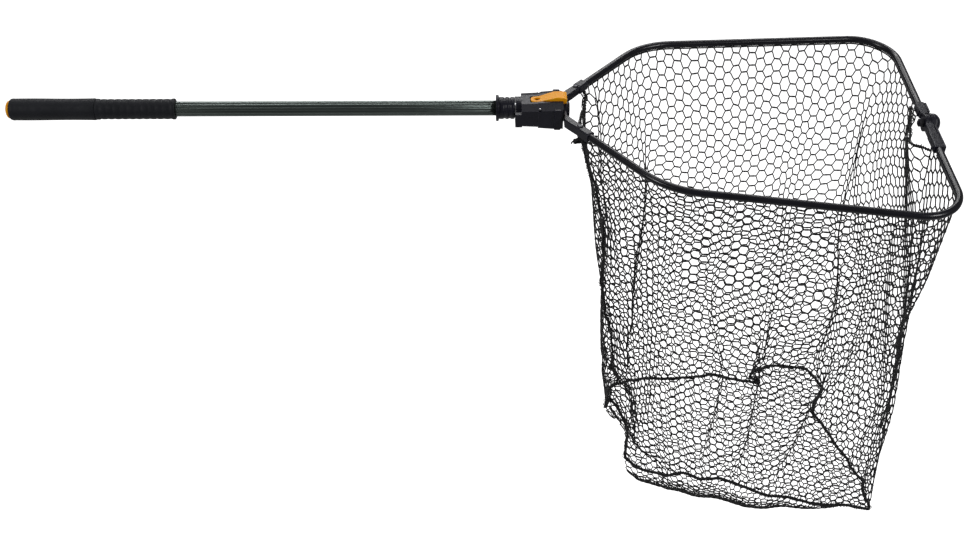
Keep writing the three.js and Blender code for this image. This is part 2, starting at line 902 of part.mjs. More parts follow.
function frameTube({ end }) {
  const start = alongArmPoint(arm.length - arm.socketDepth + gap);
  const finish = new THREE.Vector3(hoop.cornerX, end - hinge.socketDepth + gap, 0);
  const path = rounded([
    [start],
    [new THREE.Vector3(hoop.sideX, hoop.sideY, 0), hoop.sideBend],
    [new THREE.Vector3(hoop.cornerX, hoop.cornerY, 0), hoop.cornerBend],
    [finish],
  ]);
  return pipe(path, hoop.tubeRadius, 8, hoop.tubeWall);
}

// The cord in the bag's hem follows the tube, just inside it and below it.
function hemCord({ end }) {
  const inset = 6.8;
  const z = -8.6;
  const start = alongArmPoint(arm.length + 4, z);
  start.x += inset * armDirection.y;
  start.y -= inset * armDirection.x;
  const path = rounded([
    [start],
    [new THREE.Vector3(hoop.sideX + 3, hoop.sideY - inset, z), hoop.sideBend],
    [new THREE.Vector3(hoop.cornerX - inset, hoop.cornerY - inset, z), hoop.cornerBend],
    [new THREE.Vector3(hoop.cornerX - inset, end + 14, z)],
  ]);
  return pipe(path, 2, 3);
}

for (const { name, sign } of sides) {
  const side = hingeSides[name];
  piece(`${name}_frame_tube`, mirrored(frameTube(side), sign), looks.frame, hoopFrame);
  piece(`${name}_hem_cord`, mirrored(hemCord(side), sign), looks.cord, hoopFrame);
}

// ---------------------------------------------------------------- bag

function cordThrough(points, radius) {
  const curve = new THREE.CatmullRomCurve3(points, false, 'centripetal');
  return pipe(curve.getPoints((points.length - 1) * 2), radius, 3);
}

const hubCordLine = [[36.5, 72], [38, 56], [34, 32], [29, 6], [24, -18], [20, -48], [22, -62]];
const hingeCordLine = [[577, 58], [572, 34], [564, 4], [557, -22], [551, -44], [556, -53], [568, -58], [579, -67]];

function cordAt(line, z, radius) {
  return cordThrough(line.map(([x, y]) => new THREE.Vector3(x, y, z)), radius);
}

piece('hub_hem_cord', cordAt(hubCordLine, -10.9, 2.2), looks.cord, hoopFrame);
piece('hinge_hem_cord', cordAt(hingeCordLine, -11.2, 2.2), looks.cord, hoopFrame);

// The bag's level sections: how deep each one is, and the half-outline's three corners in plan,
// from the handle's end over the side bend to the front corner.
const bagSections = [
  { depth: 0, back: [26, 60], side: [150, 194], front: [574, 250] },
  { depth: 0.15, back: [43, 58], side: [158, 168], front: [583, 216] },
  { depth: 0.42, back: [66, 57], side: [164, 142], front: [588, 180] },
  { depth: 0.75, back: [92, 62], side: [166, 132], front: [590, 168] },
  { depth: 1, back: [108, 76], side: [174, 140], front: [594, 192] },
];

function edgePoints(from, to, count) {
  return Array.from({ length: count }, (_, k) => new THREE.Vector2(...from)
    .lerp(new THREE.Vector2(...to), k / count));
}

// The whole outline of one section, its corners softened by averaging neighbours.
function sectionOutline({ back, side, front }) {
  const flip = ([x, y]) => [x, -y];
  let points = [
    ...edgePoints(back, side, 5),
    ...edgePoints(side, front, 11),
    ...edgePoints(front, flip(front), 12),
    ...edgePoints(flip(front), flip(side), 11),
    ...edgePoints(flip(side), flip(back), 5),
    ...edgePoints(flip(back), back, 4),
  ];
  for (let pass = 0; pass < 3; pass += 1) {
    points = points.map((point, k) => {
      const before = points[(k + points.length - 1) % points.length];
      const after = points[(k + 1) % points.length];
      return point.clone().multiplyScalar(2).add(before).add(after).divideScalar(4);
    });
  }
  return points;
}

// Moves an outline inward, square to itself.
function inset(points, distance) {
  return points.map((point, k) => {
    const before = points[(k + points.length - 1) % points.length];
    const after = points[(k + 1) % points.length];
    const along = after.clone().sub(before).normalize();
    return new THREE.Vector2(point.x + along.y * distance, point.y - along.x * distance);
  });
}

function bagDepth(x) {
  return bag.bottomDepth + (bag.frontExtraDepth * x) / hoop.cornerX;
}

function bagRing({ depth, back, side, front }, shift) {
  return inset(sectionOutline({ back, side, front }), shift).map(({ x, y }) => {
    const hem = -bag.hemDrop - x * Math.tan(hoop.droop);
    const bottom = -bagDepth(x);
    return new THREE.Vector3(x, y, hem + (bottom - hem) * depth);
  });
}

function wallShell() {
  const outer = bagSections.map((section) => bagRing(section, 0));
  const inner = bagSections.map((section) => bagRing(section, bag.wall)).toReversed();
  const rings = [...outer, ...inner, outer[0]];
  const shell = loft(rings);
  const caps = 2 * (rings[0].length - 2) * 3;
  shell.setIndex(Array.from(shell.getIndex().array).slice(0, -caps));
  return shell;
}

// The bottom panel is a shallow tray that sags below its seam.
function bottomPanel() {
  const rim = bagRing(bagSections[bagSections.length - 1], 6.5);
  const centre = new THREE.Vector3(365, 0, 0);
  const rows = [0.05, 0.45, 0.8, 1];
  const row = (scale, lower) => rim.map((point) => {
    const sag = bag.sag * (1 - scale ** 2);
    return new THREE.Vector3(
      centre.x + (point.x - centre.x) * scale,
      point.y * scale,
      point.z - sag - lower,
    );
  });
  const upper = rows.map((scale) => row(scale, 0));
  const under = rows.toReversed().map((scale) => row(scale, bag.wall));
  return loft([...upper, ...under]);
}

function bottomSeam() {
  const ring = bagRing(bagSections[bagSections.length - 1], 2.5);
  const lowered = ring.map((point) => point.clone().add(new THREE.Vector3(0, 0, -bag.seamRadius - 1)));
  return pipe(lowered, bag.seamRadius, 3);
}

// The side seam runs down the back corner on the near side, just outside the wall.
function sideSeam() {
  const backCorner = 44;
  const path = bagSections.map((section) => bagRing(section, -3.4)[backCorner]);
  return pipe(path, 2.3, 4);
}

piece('net_bag', wallShell(), looks.net);
piece('bag_bottom', bottomPanel(), looks.net);
piece('bottom_seam_cord', bottomSeam(), looks.cord);
piece('side_seam_cord', sideSeam(), looks.cord);

export default landingNet;
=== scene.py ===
"""A folding landing net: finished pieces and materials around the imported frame.

Shapes are worked out in millimetres in the head's frame, whose origin is the middle of the head's
front face, and turned into metres in the row's frame when a mesh is made.
"""

import json
import math
from collections import namedtuple

import bpy
import numpy as np
from mathutils import Matrix, Vector

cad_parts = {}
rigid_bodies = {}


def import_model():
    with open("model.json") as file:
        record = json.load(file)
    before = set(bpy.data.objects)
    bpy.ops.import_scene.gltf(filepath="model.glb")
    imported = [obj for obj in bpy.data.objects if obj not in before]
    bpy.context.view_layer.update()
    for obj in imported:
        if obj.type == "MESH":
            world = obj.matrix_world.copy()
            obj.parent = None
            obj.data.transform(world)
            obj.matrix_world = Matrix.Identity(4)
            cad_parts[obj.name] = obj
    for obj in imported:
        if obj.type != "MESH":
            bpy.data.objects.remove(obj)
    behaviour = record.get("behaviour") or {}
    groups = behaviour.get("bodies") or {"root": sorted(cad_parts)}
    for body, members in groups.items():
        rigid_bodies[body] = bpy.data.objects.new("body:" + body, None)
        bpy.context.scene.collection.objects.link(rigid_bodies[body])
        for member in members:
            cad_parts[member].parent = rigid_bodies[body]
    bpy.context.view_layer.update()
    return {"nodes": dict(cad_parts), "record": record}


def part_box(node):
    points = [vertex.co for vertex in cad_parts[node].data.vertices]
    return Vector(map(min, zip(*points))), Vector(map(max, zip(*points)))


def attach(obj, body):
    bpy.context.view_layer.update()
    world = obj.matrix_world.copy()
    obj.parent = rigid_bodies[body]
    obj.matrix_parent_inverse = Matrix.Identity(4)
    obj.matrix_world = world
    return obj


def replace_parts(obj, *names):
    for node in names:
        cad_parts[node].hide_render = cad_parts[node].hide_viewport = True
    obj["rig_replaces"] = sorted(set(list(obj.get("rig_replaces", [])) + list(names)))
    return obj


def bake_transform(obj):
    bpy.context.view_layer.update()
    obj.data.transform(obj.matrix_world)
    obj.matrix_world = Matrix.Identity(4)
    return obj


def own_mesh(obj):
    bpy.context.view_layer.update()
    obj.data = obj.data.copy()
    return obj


for leftover in list(bpy.data.objects):
    bpy.data.objects.remove(leftover)

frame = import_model()
random = np.random.default_rng(7)

HUB_FRONT = -4.0
HEAD_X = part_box("hub_body")[1].x * 1000 - HUB_FRONT

HANDLE = {
    "grip_rear": -883,
    "grip_joint": -747,
    "grip_front": -621,
    "grip_bore": 12.4,
    "butt_radius": 17.5,
    "ribbed_radius": 15.8,
}
TUBE = {"rear": -878, "front": -106, "radius": 12, "wall": 1.5, "flutes": 12, "flute_depth": 0.8}
HOOP = {
    "droop": math.radians(2.46),
    "drop": 3,
    "fold_drop": 3,
    "radius": 6,
    "root": (-4, 29),
    "side": (143, 209),
    "side_bend": 125,
    "corner": (586, 264),
    "corner_bend": 68,
}
ARM_SOCKET_START = 47.3
SOCKET_END = {"near": 72, "far": 48}
TUBE_IN_SOCKET = 17.7
SIGN = {"near": -1, "far": 1}

# The lines that bridge the hoop's gaps at the hub and at the front hinge, in the hoop's plane. The
# one at the hub gets its two end points where it is used.
HUB_BRIDGE = [(20, -48), (24, -18), (29, 6), (34, 32), (38, 56)]
HINGE_BRIDGE = [(579, -67), (568, -58), (556, -53), (551, -44), (557, -22), (564, 4), (572, 34), (577, 58)]
BRIDGE_HEIGHT = -11


# ------------------------------------------------------------------ frames of reference


def to_row(points):
    """Head frame in millimetres to row frame in metres."""
    return (np.asarray(points, float) + [HEAD_X, 0, 0]) / 1000


def hoop_to_head(points):
    """The hoop's drooping plane to the head frame."""
    p = np.asarray(points, float)
    c, s = math.cos(HOOP["droop"]), math.sin(HOOP["droop"])
    x = p[..., 0] * c + p[..., 2] * s
    z = -p[..., 0] * s + p[..., 2] * c - HOOP["drop"]
    return np.stack([x, p[..., 1], z], -1)


# ------------------------------------------------------------------ materials

# Most of a noise texture's values lie between these two.
NOISE_LOW, NOISE_HIGH = 0.3, 0.7
# A paler colour painted on the plastics' sharp edges as a highlight.
EDGE_HIGHLIGHT = (0.055, 0.053, 0.078)


class Nodes:
    """A short way to write a node tree around one Principled shader."""

    def __init__(self, name):
        self.material = bpy.data.materials.new(name)
        self.material.use_nodes = True
        self.tree = self.material.node_tree
        self.shader = self.tree.nodes["Principled BSDF"]
        self.place = self.add("ShaderNodeTexCoord").outputs["Object"]

    def add(self, kind, **settings):
        node = self.tree.nodes.new(kind)
        for key, value in settings.items():
            setattr(node, key, value)
        return node

    def link(self, source, target):
        self.tree.links.new(source, target)

    def noise(self, scale, detail, stretch=(1, 1, 1)):
        mapping = self.add("ShaderNodeMapping")
        mapping.inputs["Scale"].default_value = stretch
        self.link(self.place, mapping.inputs["Vector"])
        noise = self.add("ShaderNodeTexNoise")
        noise.inputs["Scale"].default_value = scale
        noise.inputs["Detail"].default_value = detail
        noise.inputs["Roughness"].default_value = 0.55
        self.link(mapping.outputs["Vector"], noise.inputs["Vector"])
        return noise.outputs["Fac"]

    def ramp(self, value, low, high):
        """Runs from colour low to colour high over the middle of the noise's range."""
        ramp = self.add("ShaderNodeValToRGB")
        ramp.color_ramp.elements[0].position = NOISE_LOW
        ramp.color_ramp.elements[1].position = NOISE_HIGH
        ramp.color_ramp.elements[0].color = (*low, 1)
        ramp.color_ramp.elements[1].color = (*high, 1)
        self.link(value, ramp.inputs["Fac"])
        return ramp.outputs["Color"]

    def levels(self, value, low, high):
        """Maps the middle of the noise's range to low..high."""
        node = self.add("ShaderNodeMapRange")
        node.inputs["From Min"].default_value = NOISE_LOW
        node.inputs["From Max"].default_value = NOISE_HIGH
        node.inputs["To Min"].default_value = low
        node.inputs["To Max"].default_value = high
        self.link(value, node.inputs["Value"])
        return node.outputs["Result"]

    def mix(self, factor, first, second):
        node = self.add("ShaderNodeMix", data_type="RGBA")
        self.link(factor, node.inputs["Factor"])
        self.link(first, node.inputs["A"])
        self.link(second, node.inputs["B"])
        return node.outputs["Result"]

    def bump(self, *layers):
        """Stacks bump layers, each (height, strength, distance in metres)."""
        normal = None
        for height, strength, distance in layers:
            node = self.add("ShaderNodeBump")
            node.inputs["Strength"].default_value = strength
            node.inputs["Distance"].default_value = distance
            self.link(height, node.inputs["Height"])
            if normal is not None:
                self.link(normal, node.inputs["Normal"])
            normal = node.outputs["Normal"]
        self.link(normal, self.shader.inputs["Normal"])

    def edges(self, radius):
        """Near 1 on sharp edges, 0 on flat faces."""
        bevel = self.add("ShaderNodeBevel", samples=4)
        bevel.inputs["Radius"].default_value = radius
        geometry = self.add("ShaderNodeNewGeometry")
        dot = self.add("ShaderNodeVectorMath", operation="DOT_PRODUCT")
        self.link(bevel.outputs["Normal"], dot.inputs[0])
        self.link(geometry.outputs["Normal"], dot.inputs[1])
        turned = self.add("ShaderNodeMapRange")
        turned.inputs["From Min"].default_value = 1.0
        turned.inputs["From Max"].default_value = 0.86
        self.link(dot.outputs["Value"], turned.inputs["Value"])
        return turned.outputs["Result"]

    def rgb(self, value):
        node = self.add("ShaderNodeRGB")
        node.outputs[0].default_value = (*value, 1)
        return node.outputs[0]

    def set(self, **values):
        for key, value in values.items():
            self.shader.inputs[key.replace("_", " ")].default_value = value

    def colour(self, output):
        self.link(output, self.shader.inputs["Base Color"])

    def rough(self, output):
        self.link(output, self.shader.inputs["Roughness"])


def moulded(name, dark, light, edge_highlight, roughness, grain=0.00004):
    """Injection-moulded plastic: spark-eroded grain, faint flow mottling and a painted highlight on its
    sharp edges.
    """
    n = Nodes(name)
    mottle = n.ramp(n.noise(60, 3), dark, light)
    # Sharp edges get a paler colour: a painted highlight.
    n.colour(n.mix(n.edges(0.0006), mottle, n.rgb(edge_highlight)))
    n.rough(n.levels(n.noise(240, 3), roughness - 0.06, roughness + 0.08))
    n.bump((n.noise(2600, 2), 0.2, grain), (n.noise(35, 2), 0.08, 0.0003))
    return n


def housing_plastic():
    n = moulded("housing_plastic", (0.007, 0.007, 0.013), (0.011, 0.011, 0.019), EDGE_HIGHLIGHT, 0.32)
    n.set(Specular_IOR_Level=0.3)
    return n.material


def arm_plastic():
    n = moulded("arm_plastic", (0.008, 0.008, 0.014), (0.012, 0.012, 0.02), EDGE_HIGHLIGHT, 0.3)
    n.set(Specular_IOR_Level=0.34)
    return n.material


def orange_plastic():
    # The third colour is a paler orange painted on the edges as a highlight.
    dark, light, edge_highlight = (0.94, 0.36, 0.002), (1.0, 0.41, 0.003), (1.0, 0.48, 0.02)
    n = moulded("orange_plastic", dark, light, edge_highlight, 0.42, grain=0.00002)
    n.set(Subsurface_Weight=0.05, Specular_IOR_Level=0.22)
    return n.material


def grip_rubber():
    """Dark navy rubber with a fine matte grain, faint random patches and a painted highlight on its edges.
    """
    n = Nodes("grip_rubber")
    patch = n.ramp(n.noise(28, 4), (0.004, 0.005, 0.008), (0.008, 0.009, 0.013))
    # Sharp edges get a paler colour: a painted highlight.
    n.colour(n.mix(n.edges(0.0008), patch, n.rgb((0.03, 0.032, 0.042))))
    n.rough(n.levels(n.noise(120, 3), 0.55, 0.75))
    n.bump((n.noise(1900, 3), 0.6, 0.00012), (n.noise(300, 2), 0.25, 0.0002))
    n.set(Sheen_Weight=0.05, Sheen_Roughness=0.5, Specular_IOR_Level=0.3)
    return n.material


def anodised_aluminium():
    """Green-grey anodised tube, drawn lengthwise, so its grain and gloss run along X."""
    n = Nodes("anodised_aluminium")
    drawn = n.noise(500, 4, stretch=(0.02, 1, 1))
    tint = n.ramp(drawn, (0.07, 0.088, 0.082), (0.11, 0.13, 0.122))
    cloud = n.ramp(n.noise(6, 3), (0.06, 0.076, 0.072), (0.12, 0.14, 0.132))
    n.colour(n.mix(n.levels(n.noise(14, 2), 0.0, 0.4), tint, cloud))
    n.rough(n.levels(drawn, 0.18, 0.3))
    n.bump((n.noise(2400, 3, stretch=(0.015, 1, 1)), 0.3, 0.00003))
    n.set(Metallic=0.85)
    return n.material


def coated_tube():
    """Satin black coating with a faint orange peel."""
    n = Nodes("coated_tube")
    n.colour(n.ramp(n.noise(18, 3), (0.005, 0.005, 0.008), (0.009, 0.009, 0.014)))
    n.rough(n.levels(n.noise(90, 3), 0.22, 0.3))
    n.bump((n.noise(700, 2), 0.08, 0.00004), (n.noise(60, 2), 0.05, 0.0002))
    n.set(Specular_IOR_Level=0.4)
    return n.material


def bare_metal(name, dark, light, roughness):
    n = Nodes(name)
    n.colour(n.ramp(n.noise(400, 4, stretch=(0.3, 1, 1)), dark, light))
    n.rough(n.levels(n.noise(700, 3), roughness - 0.08, roughness + 0.1))
    n.bump((n.noise(3000, 2, stretch=(0.1, 1, 1)), 0.3, 0.00002))
    n.set(Metallic=1.0)
    return n.material


def nylon():
    # The third colour is painted on the edges as a highlight.
    n = moulded("plain_nylon", (0.06, 0.06, 0.065), (0.08, 0.08, 0.085), (0.12, 0.12, 0.13), 0.5)
    return n.material


def twine(name, dark, light):
    """Spun black yarn: fine fibres, a soft sheen and dusty patches."""
    n = Nodes(name)
    n.colour(n.ramp(n.noise(150, 4), dark, light))
    n.rough(n.levels(n.noise(500, 2), 0.6, 0.85))
    n.bump((n.noise(2500, 3), 0.7, 0.0002))
    n.set(Sheen_Weight=0.12, Sheen_Roughness=0.4)
    return n.material


LOOKS = {
    "housing": housing_plastic(),
    "arm": arm_plastic(),
    "orange_plastic": orange_plastic(),
    "grip": grip_rubber(),
    "anodised_tube": anodised_aluminium(),
    "frame_tube": coated_tube(),
    "inner_tube": bare_metal("drawn_aluminium", (0.5, 0.51, 0.53), (0.62, 0.63, 0.65), 0.32),
    "steel": bare_metal("plated_steel", (0.5, 0.5, 0.52), (0.66, 0.66, 0.68), 0.28),
    "dark_steel": bare_metal("blackened_steel", (0.05, 0.05, 0.055), (0.09, 0.09, 0.1), 0.36),
    "nylon": nylon(),
    "cord": twine("twisted_cord", (0.003, 0.003, 0.004), (0.009, 0.009, 0.012)),
    "net": twine("net_twine", (0.003, 0.003, 0.004), (0.008, 0.008, 0.010)),
}


# ------------------------------------------------------------------ meshes


def make_mesh(name, points, faces, slot):
    """points are in the head frame; faces is a list of arrays of equal-sided faces."""
    corners = np.concatenate([np.asarray(f, np.int64).ravel() for f in faces])
    sizes = np.concatenate([np.full(len(f), np.asarray(f).shape[1], np.int64) for f in faces])
    mesh = bpy.data.meshes.new(name)
    mesh.vertices.add(len(points))
    mesh.vertices.foreach_set("co", to_row(points).astype(np.float32).ravel())
    mesh.loops.add(len(corners))
    mesh.loops.foreach_set("vertex_index", corners.astype(np.int32))
    mesh.polygons.add(len(sizes))
    mesh.polygons.foreach_set("loop_start", (np.cumsum(sizes) - sizes).astype(np.int32))
    mesh.polygons.foreach_set("use_smooth", np.ones(len(sizes), bool))
    mesh.update(calc_edges=True)
    mesh.validate()
    piece = bpy.data.objects.new(name, mesh)
    bpy.context.scene.collection.objects.link(piece)
    mesh.materials.append(LOOKS[slot])
    return piece


def stand_in(piece, body, node):
    """A rigid piece that rides on a body in place of one of its CAD nodes."""
    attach(piece, body)
    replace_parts(piece, node)


def ring_faces(rows, sides, closed=False):
    """Quads of a tube whose points run ring by ring."""
    row = np.arange(rows if closed else rows - 1)[:, None]
    side = np.arange(sides)[None, :]
    after = (row + 1) % rows
    around = (side + 1) % sides
    quads = [row * sides + side, row * sides + around, after * sides + around, after * sides + side]
    return np.stack([q + 0 * side for q in quads], -1).reshape(-1, 4)


def unit(vectors):
    return vectors / np.maximum(np.linalg.norm(vectors, axis=-1, keepdims=True), 1e-9)


def carried_frames(path):
    """Normals and binormals carried along one path without twist."""
    tangents = unit(np.gradient(path, axis=0))
    start = np.array([0, 0, 1.0])
    if abs(tangents[0] @ start) > 0.9:
        start = np.array([0, 1.0, 0])
    normals = np.zeros_like(path)
    current = start
    for k, tangent in enumerate(tangents):
        current = current - tangent * (current @ tangent)
        current = current / np.linalg.norm(current)
        normals[k] = current
    return normals, np.cross(tangents, normals)


def tube_points(path, radius, sides):
    normals, sideways = carried_frames(path)
    angles = np.linspace(0, 2 * math.pi, sides, endpoint=False)
    radius = np.broadcast_to(radius, len(path))[:, None, None]
    turn = normals[:, None] * np.cos(angles)[:, None] + sideways[:, None] * np.sin(angles)[:, None]
    return (path[:, None] + radius * turn).reshape(-1, 3)


def tube(name, path, radius, sides, slot):
    """A closed round bar along one path."""
    points = tube_points(path, radius, sides)
    ends = np.arange(sides)
    caps = np.stack([ends[::-1], ends + (len(path) - 1) * sides])
    return make_mesh(name, points, [ring_faces(len(path), sides), caps], slot)


def many_tubes(paths, radii, sides, hints):
    """Points and faces of many short closed bars; paths is (bars, points, 3)."""
    bars, count = paths.shape[:2]
    tangents = unit(np.gradient(paths, axis=1))
    normals = unit(np.cross(tangents, hints[:, None]))
    sideways = np.cross(tangents, normals)
    angles = np.linspace(0, 2 * math.pi, sides, endpoint=False)
    across, up = np.cos(angles)[:, None], np.sin(angles)[:, None]
    turn = normals[:, :, None] * across + sideways[:, :, None] * up
    points = (paths[:, :, None] + np.asarray(radii)[..., None, None] * turn).reshape(-1, 3)
    base = (np.arange(bars) * count * sides)[:, None, None]
    quads = (ring_faces(count, sides)[None] + base).reshape(-1, 4)
    ends = np.arange(sides)
    caps = np.stack([ends[::-1], ends + (count - 1) * sides])
    return points, [quads, (caps[None] + base).reshape(-1, sides)]


def distances_along(path):
    """How far along the path each of its points is."""
    return np.concatenate([[0], np.cumsum(np.linalg.norm(np.diff(path, axis=0), axis=1))])


def smooth_path(corners, spacing):
    """A smooth curve through the corners, with points about `spacing` millimetres apart."""
    corners = np.asarray(corners, float)
    padded = np.vstack([2 * corners[0] - corners[1], corners, 2 * corners[-1] - corners[-2]])
    pieces = []
    for k in range(len(corners) - 1):
        p0, p1, p2, p3 = padded[k : k + 4]
        steps = max(2, int(np.linalg.norm(p2 - p1) / spacing))
        t = np.linspace(0, 1, steps, endpoint=False)[:, None]
        square, cube = 2 * p0 - 5 * p1 + 4 * p2 - p3, 3 * p1 - p0 - 3 * p2 + p3
        pieces.append(0.5 * (2 * p1 + (p2 - p0) * t + square * t**2 + cube * t**3))
    pieces.append(corners[-1:])
    return np.vstack(pieces)


def resample(path, count):
    """count points evenly spaced along a path."""
    path = np.asarray(path, float)
    along = distances_along(path)
    wanted = np.linspace(0, along[-1], count)
    return np.stack([np.interp(wanted, along, path[:, k]) for k in range(path.shape[1])], -1)


def rounded_path(corners, bends):
    """A polyline whose inner corners are replaced by arcs of the given bend radii."""
    step = math.radians(4)
    corners = [np.asarray(c, float) for c in corners]
    path = [corners[0]]
    for k in range(1, len(corners) - 1):
        before = unit(corners[k - 1] - corners[k])
        after = unit(corners[k + 1] - corners[k])
        half = math.acos(np.clip(before @ after, -1, 1)) / 2
        reach = bends[k - 1] / math.tan(half)
        centre = corners[k] + unit(before + after) * bends[k - 1] / math.sin(half)
        start = corners[k] + before * reach - centre
        finish = corners[k] + after * reach - centre
        sweep = math.pi - 2 * half
        steps = max(3, int(sweep / step))
        for t in np.linspace(0, 1, steps):
            ratio = np.sin([(1 - t) * sweep, t * sweep]) / math.sin(sweep)
            path.append(centre + start * ratio[0] + finish * ratio[1])
    path.append(corners[-1])
    return np.array(path)


def lathe(name, profile, sides, slot):
    """Turns a closed (x, radius) outline about the handle's axis."""
    profile = np.asarray(profile, float)
    angles = np.linspace(0, 2 * math.pi, sides, endpoint=False)
    x = np.repeat(profile[:, :1], sides, 1)
    y = profile[:, 1:] * np.cos(angles)
    z = profile[:, 1:] * np.sin(angles)
    points = np.stack([x, y, z], -1).reshape(-1, 3)
    return make_mesh(name, points, [ring_faces(len(profile), sides, closed=True)], slot)


# ------------------------------------------------------------------ handle


def arc_profile(x, radius, drop, length):
    """A quarter-round from radius - drop up to radius over length, starting at x."""
    angles = np.linspace(0, math.pi / 2, 6)
    return [(x + length * (1 - math.cos(a)), radius - drop * (1 - math.sin(a))) for a in angles]


def butt_grip():
    """The plain rear grip, with a faint swell along it."""
    gap = 0.3
    rear, joint, radius = HANDLE["grip_rear"], HANDLE["grip_joint"] - gap, HANDLE["butt_radius"]
    profile = [(rear, HANDLE["grip_bore"])]
    profile += arc_profile(rear, radius, 3.2, 5)
    for x in np.linspace(rear + 8, joint - 8, 60):
        swell = 0.25 * math.sin((x - rear) * 0.05)
        profile.append((x, radius - 0.25 + swell))
    profile += [(joint - 1.6, radius), (joint - 0.6, radius - 0.3), (joint, radius - 1.2)]
    profile.append((joint, HANDLE["grip_bore"]))
    piece = lathe("butt_grip_rubber", profile, 96, "grip")
    stand_in(piece, "handle", "butt_grip")


def ribbed_grip():
    """Ten soft ribs, with a plain collar at each end."""
    joint, front, radius = HANDLE["grip_joint"], HANDLE["grip_front"], HANDLE["ribbed_radius"]
    profile = [(joint, HANDLE["grip_bore"]), (joint, radius + 0.2)]
    profile += [(joint + 0.8, radius + 0.9), (joint + 5, radius + 0.9)]
    start, end, ribs = joint + 7, front - 8, 10
    for x in np.linspace(start, end, ribs * 12 + 1):
        phase = (x - start) / (end - start) * ribs
        profile.append((x, radius - 0.35 + 0.75 * abs(math.sin(math.pi * phase)) ** 0.7))
    profile += [(front - 5, radius + 0.5), (front - 4, radius + 0.9), (front - 1, radius + 0.9)]
    profile += [(front - 0.3, radius + 0.4), (front, radius - 0.4), (front, HANDLE["grip_bore"])]
    piece = lathe("ribbed_grip_rubber", profile, 96, "grip")
    stand_in(piece, "handle", "ribbed_grip")


def fluted_tube():
    """The outer tube, with shallow round flutes along its whole length."""
    sides = 180
    angles = np.linspace(0, 2 * math.pi, sides, endpoint=False)
    dip = TUBE["flute_depth"] * (0.5 - 0.5 * np.cos(angles * TUBE["flutes"])) ** 1.6
    outer = TUBE["radius"] - dip
    inner = np.full(sides, TUBE["radius"] - TUBE["wall"])
    rear, front, chamfer = TUBE["rear"], TUBE["front"], 0.4
    rows = [
        (rear, outer - chamfer),
        (rear + chamfer, outer),
        (front - chamfer, outer),
        (front, outer - chamfer),
        (front, inner),
        (rear, inner),
    ]
    rings = [
        np.stack([np.full(sides, x), radius * np.cos(angles), radius * np.sin(angles)], -1)
        for x, radius in rows
    ]
    faces = ring_faces(len(rings), sides, closed=True)
    piece = make_mesh("fluted_outer_tube", np.vstack(rings), [faces], "anodised_tube")
    stand_in(piece, "handle", "outer_tube")


# ------------------------------------------------------------------ hoop


def arm_point(distance, z=0.0):
    root, side = np.array(HOOP["root"], float), np.array(HOOP["side"], float)
    along = unit(side - root)
    return np.array([*(root + along * distance), z])


def mirrored(points, side):
    return np.asarray(points, float) * [1, SIGN[side], 1]


def hoop_tube_path(side):
    corner = np.array([*HOOP["corner"], 0.0])
    finish = np.array([HOOP["corner"][0], SOCKET_END[side] - TUBE_IN_SOCKET, 0.0])
    corners = [arm_point(ARM_SOCKET_START), [*HOOP["side"], 0.0], corner, finish]
    return rounded_path(corners, [HOOP["side_bend"], HOOP["corner_bend"]])


def hoop_tube(side):
    path = hoop_to_head(mirrored(hoop_tube_path(side), side))
    path = resample(path, 260)
    piece = tube(f"{side}_hoop_tube", path, HOOP["radius"], 28, "frame_tube")
    stand_in(piece, f"{side}_half", f"{side}_frame_tube")


# ------------------------------------------------------------------ bag surface

# Columns of mesh in each span of the wall, from the seam at the back round the near side to the
# front hinge and back along the far side.
SPANS = (12, 28, 13, 8, 13, 28, 12, 10)
COLUMNS = sum(SPANS)
ROWS = 34

# Points for each column in a section, and the depths of the wall's five sections.
FINE = 6
DEPTHS = np.array([0, 0.15, 0.42, 0.75, 1.0])


def bottom_height(x):
    """How high the seam round the bottom lies: it slopes down towards the front."""
    return -(690 + 72 * x / HOOP["corner"][0])


def tucked_under(path, inset, below):
    """A line that keeps to the inside of a hoop tube's own path and below it."""
    inward = unit(np.gradient(path, axis=0)[:, [1, 0, 2]] * [1, -1, 0])
    return path + inward * inset + [0, 0, -below]


def bridge(line):
    """A bridging cord's line, at its height under the hoop's plane."""
    return np.array([(x, y, BRIDGE_HEIGHT) for x, y in line], float)


def hem_spans():
    """The bag's top edge, span by span: under the hoop tubes and along the two bridging cords."""
    spans = {}
    for side in SIGN:
        path = tucked_under(resample(hoop_tube_path(side), 600), 2.0, 6.5)
        bend, corner = (
            np.argmin(np.linalg.norm(path[:, :2] - HOOP[place], axis=1)) for place in ("side", "corner")
        )
        path = mirrored(path, side)
        spans[side] = [path[: bend + 1], path[bend : corner + 1], path[corner:]]
    hub = bridge([(22, -62), *HUB_BRIDGE, (36.5, 72)])
    hinge = bridge(HINGE_BRIDGE)
    near, far = spans["near"], spans["far"]
    ordered = [
        np.vstack([[hub[0]], near[0]]),
        near[1],
        np.vstack([near[2], hinge[:4]]),
        hinge[3:7],
        np.vstack([hinge[6:], far[2][::-1]]),
        far[1][::-1],
        far[0][::-1],
        np.vstack([far[0][:1], hub[::-1]]),
    ]
    return [hoop_to_head(span) for span in ordered]


# The wall's plan at the three middle sections, from column 0: the near side's back corner, side bend
# and front corner, the two ends of the hinge gap, then the far side's front corner, bend and back
# corner.
LEVEL_CORNERS = [
    [(44, -58), (158, -168), (573, -218), (584, -54), (588, 52), (560, 214), (158, 168), (43, 58)],
    [(78, -60), (170, -142), (561, -190), (602, -74), (600, 56), (548, 186), (164, 142), (64, 64)],
    [(100, -58), (176, -132), (577, -184), (602, -88), (594, 46), (558, 168), (168, 132), (92, 60)],
]

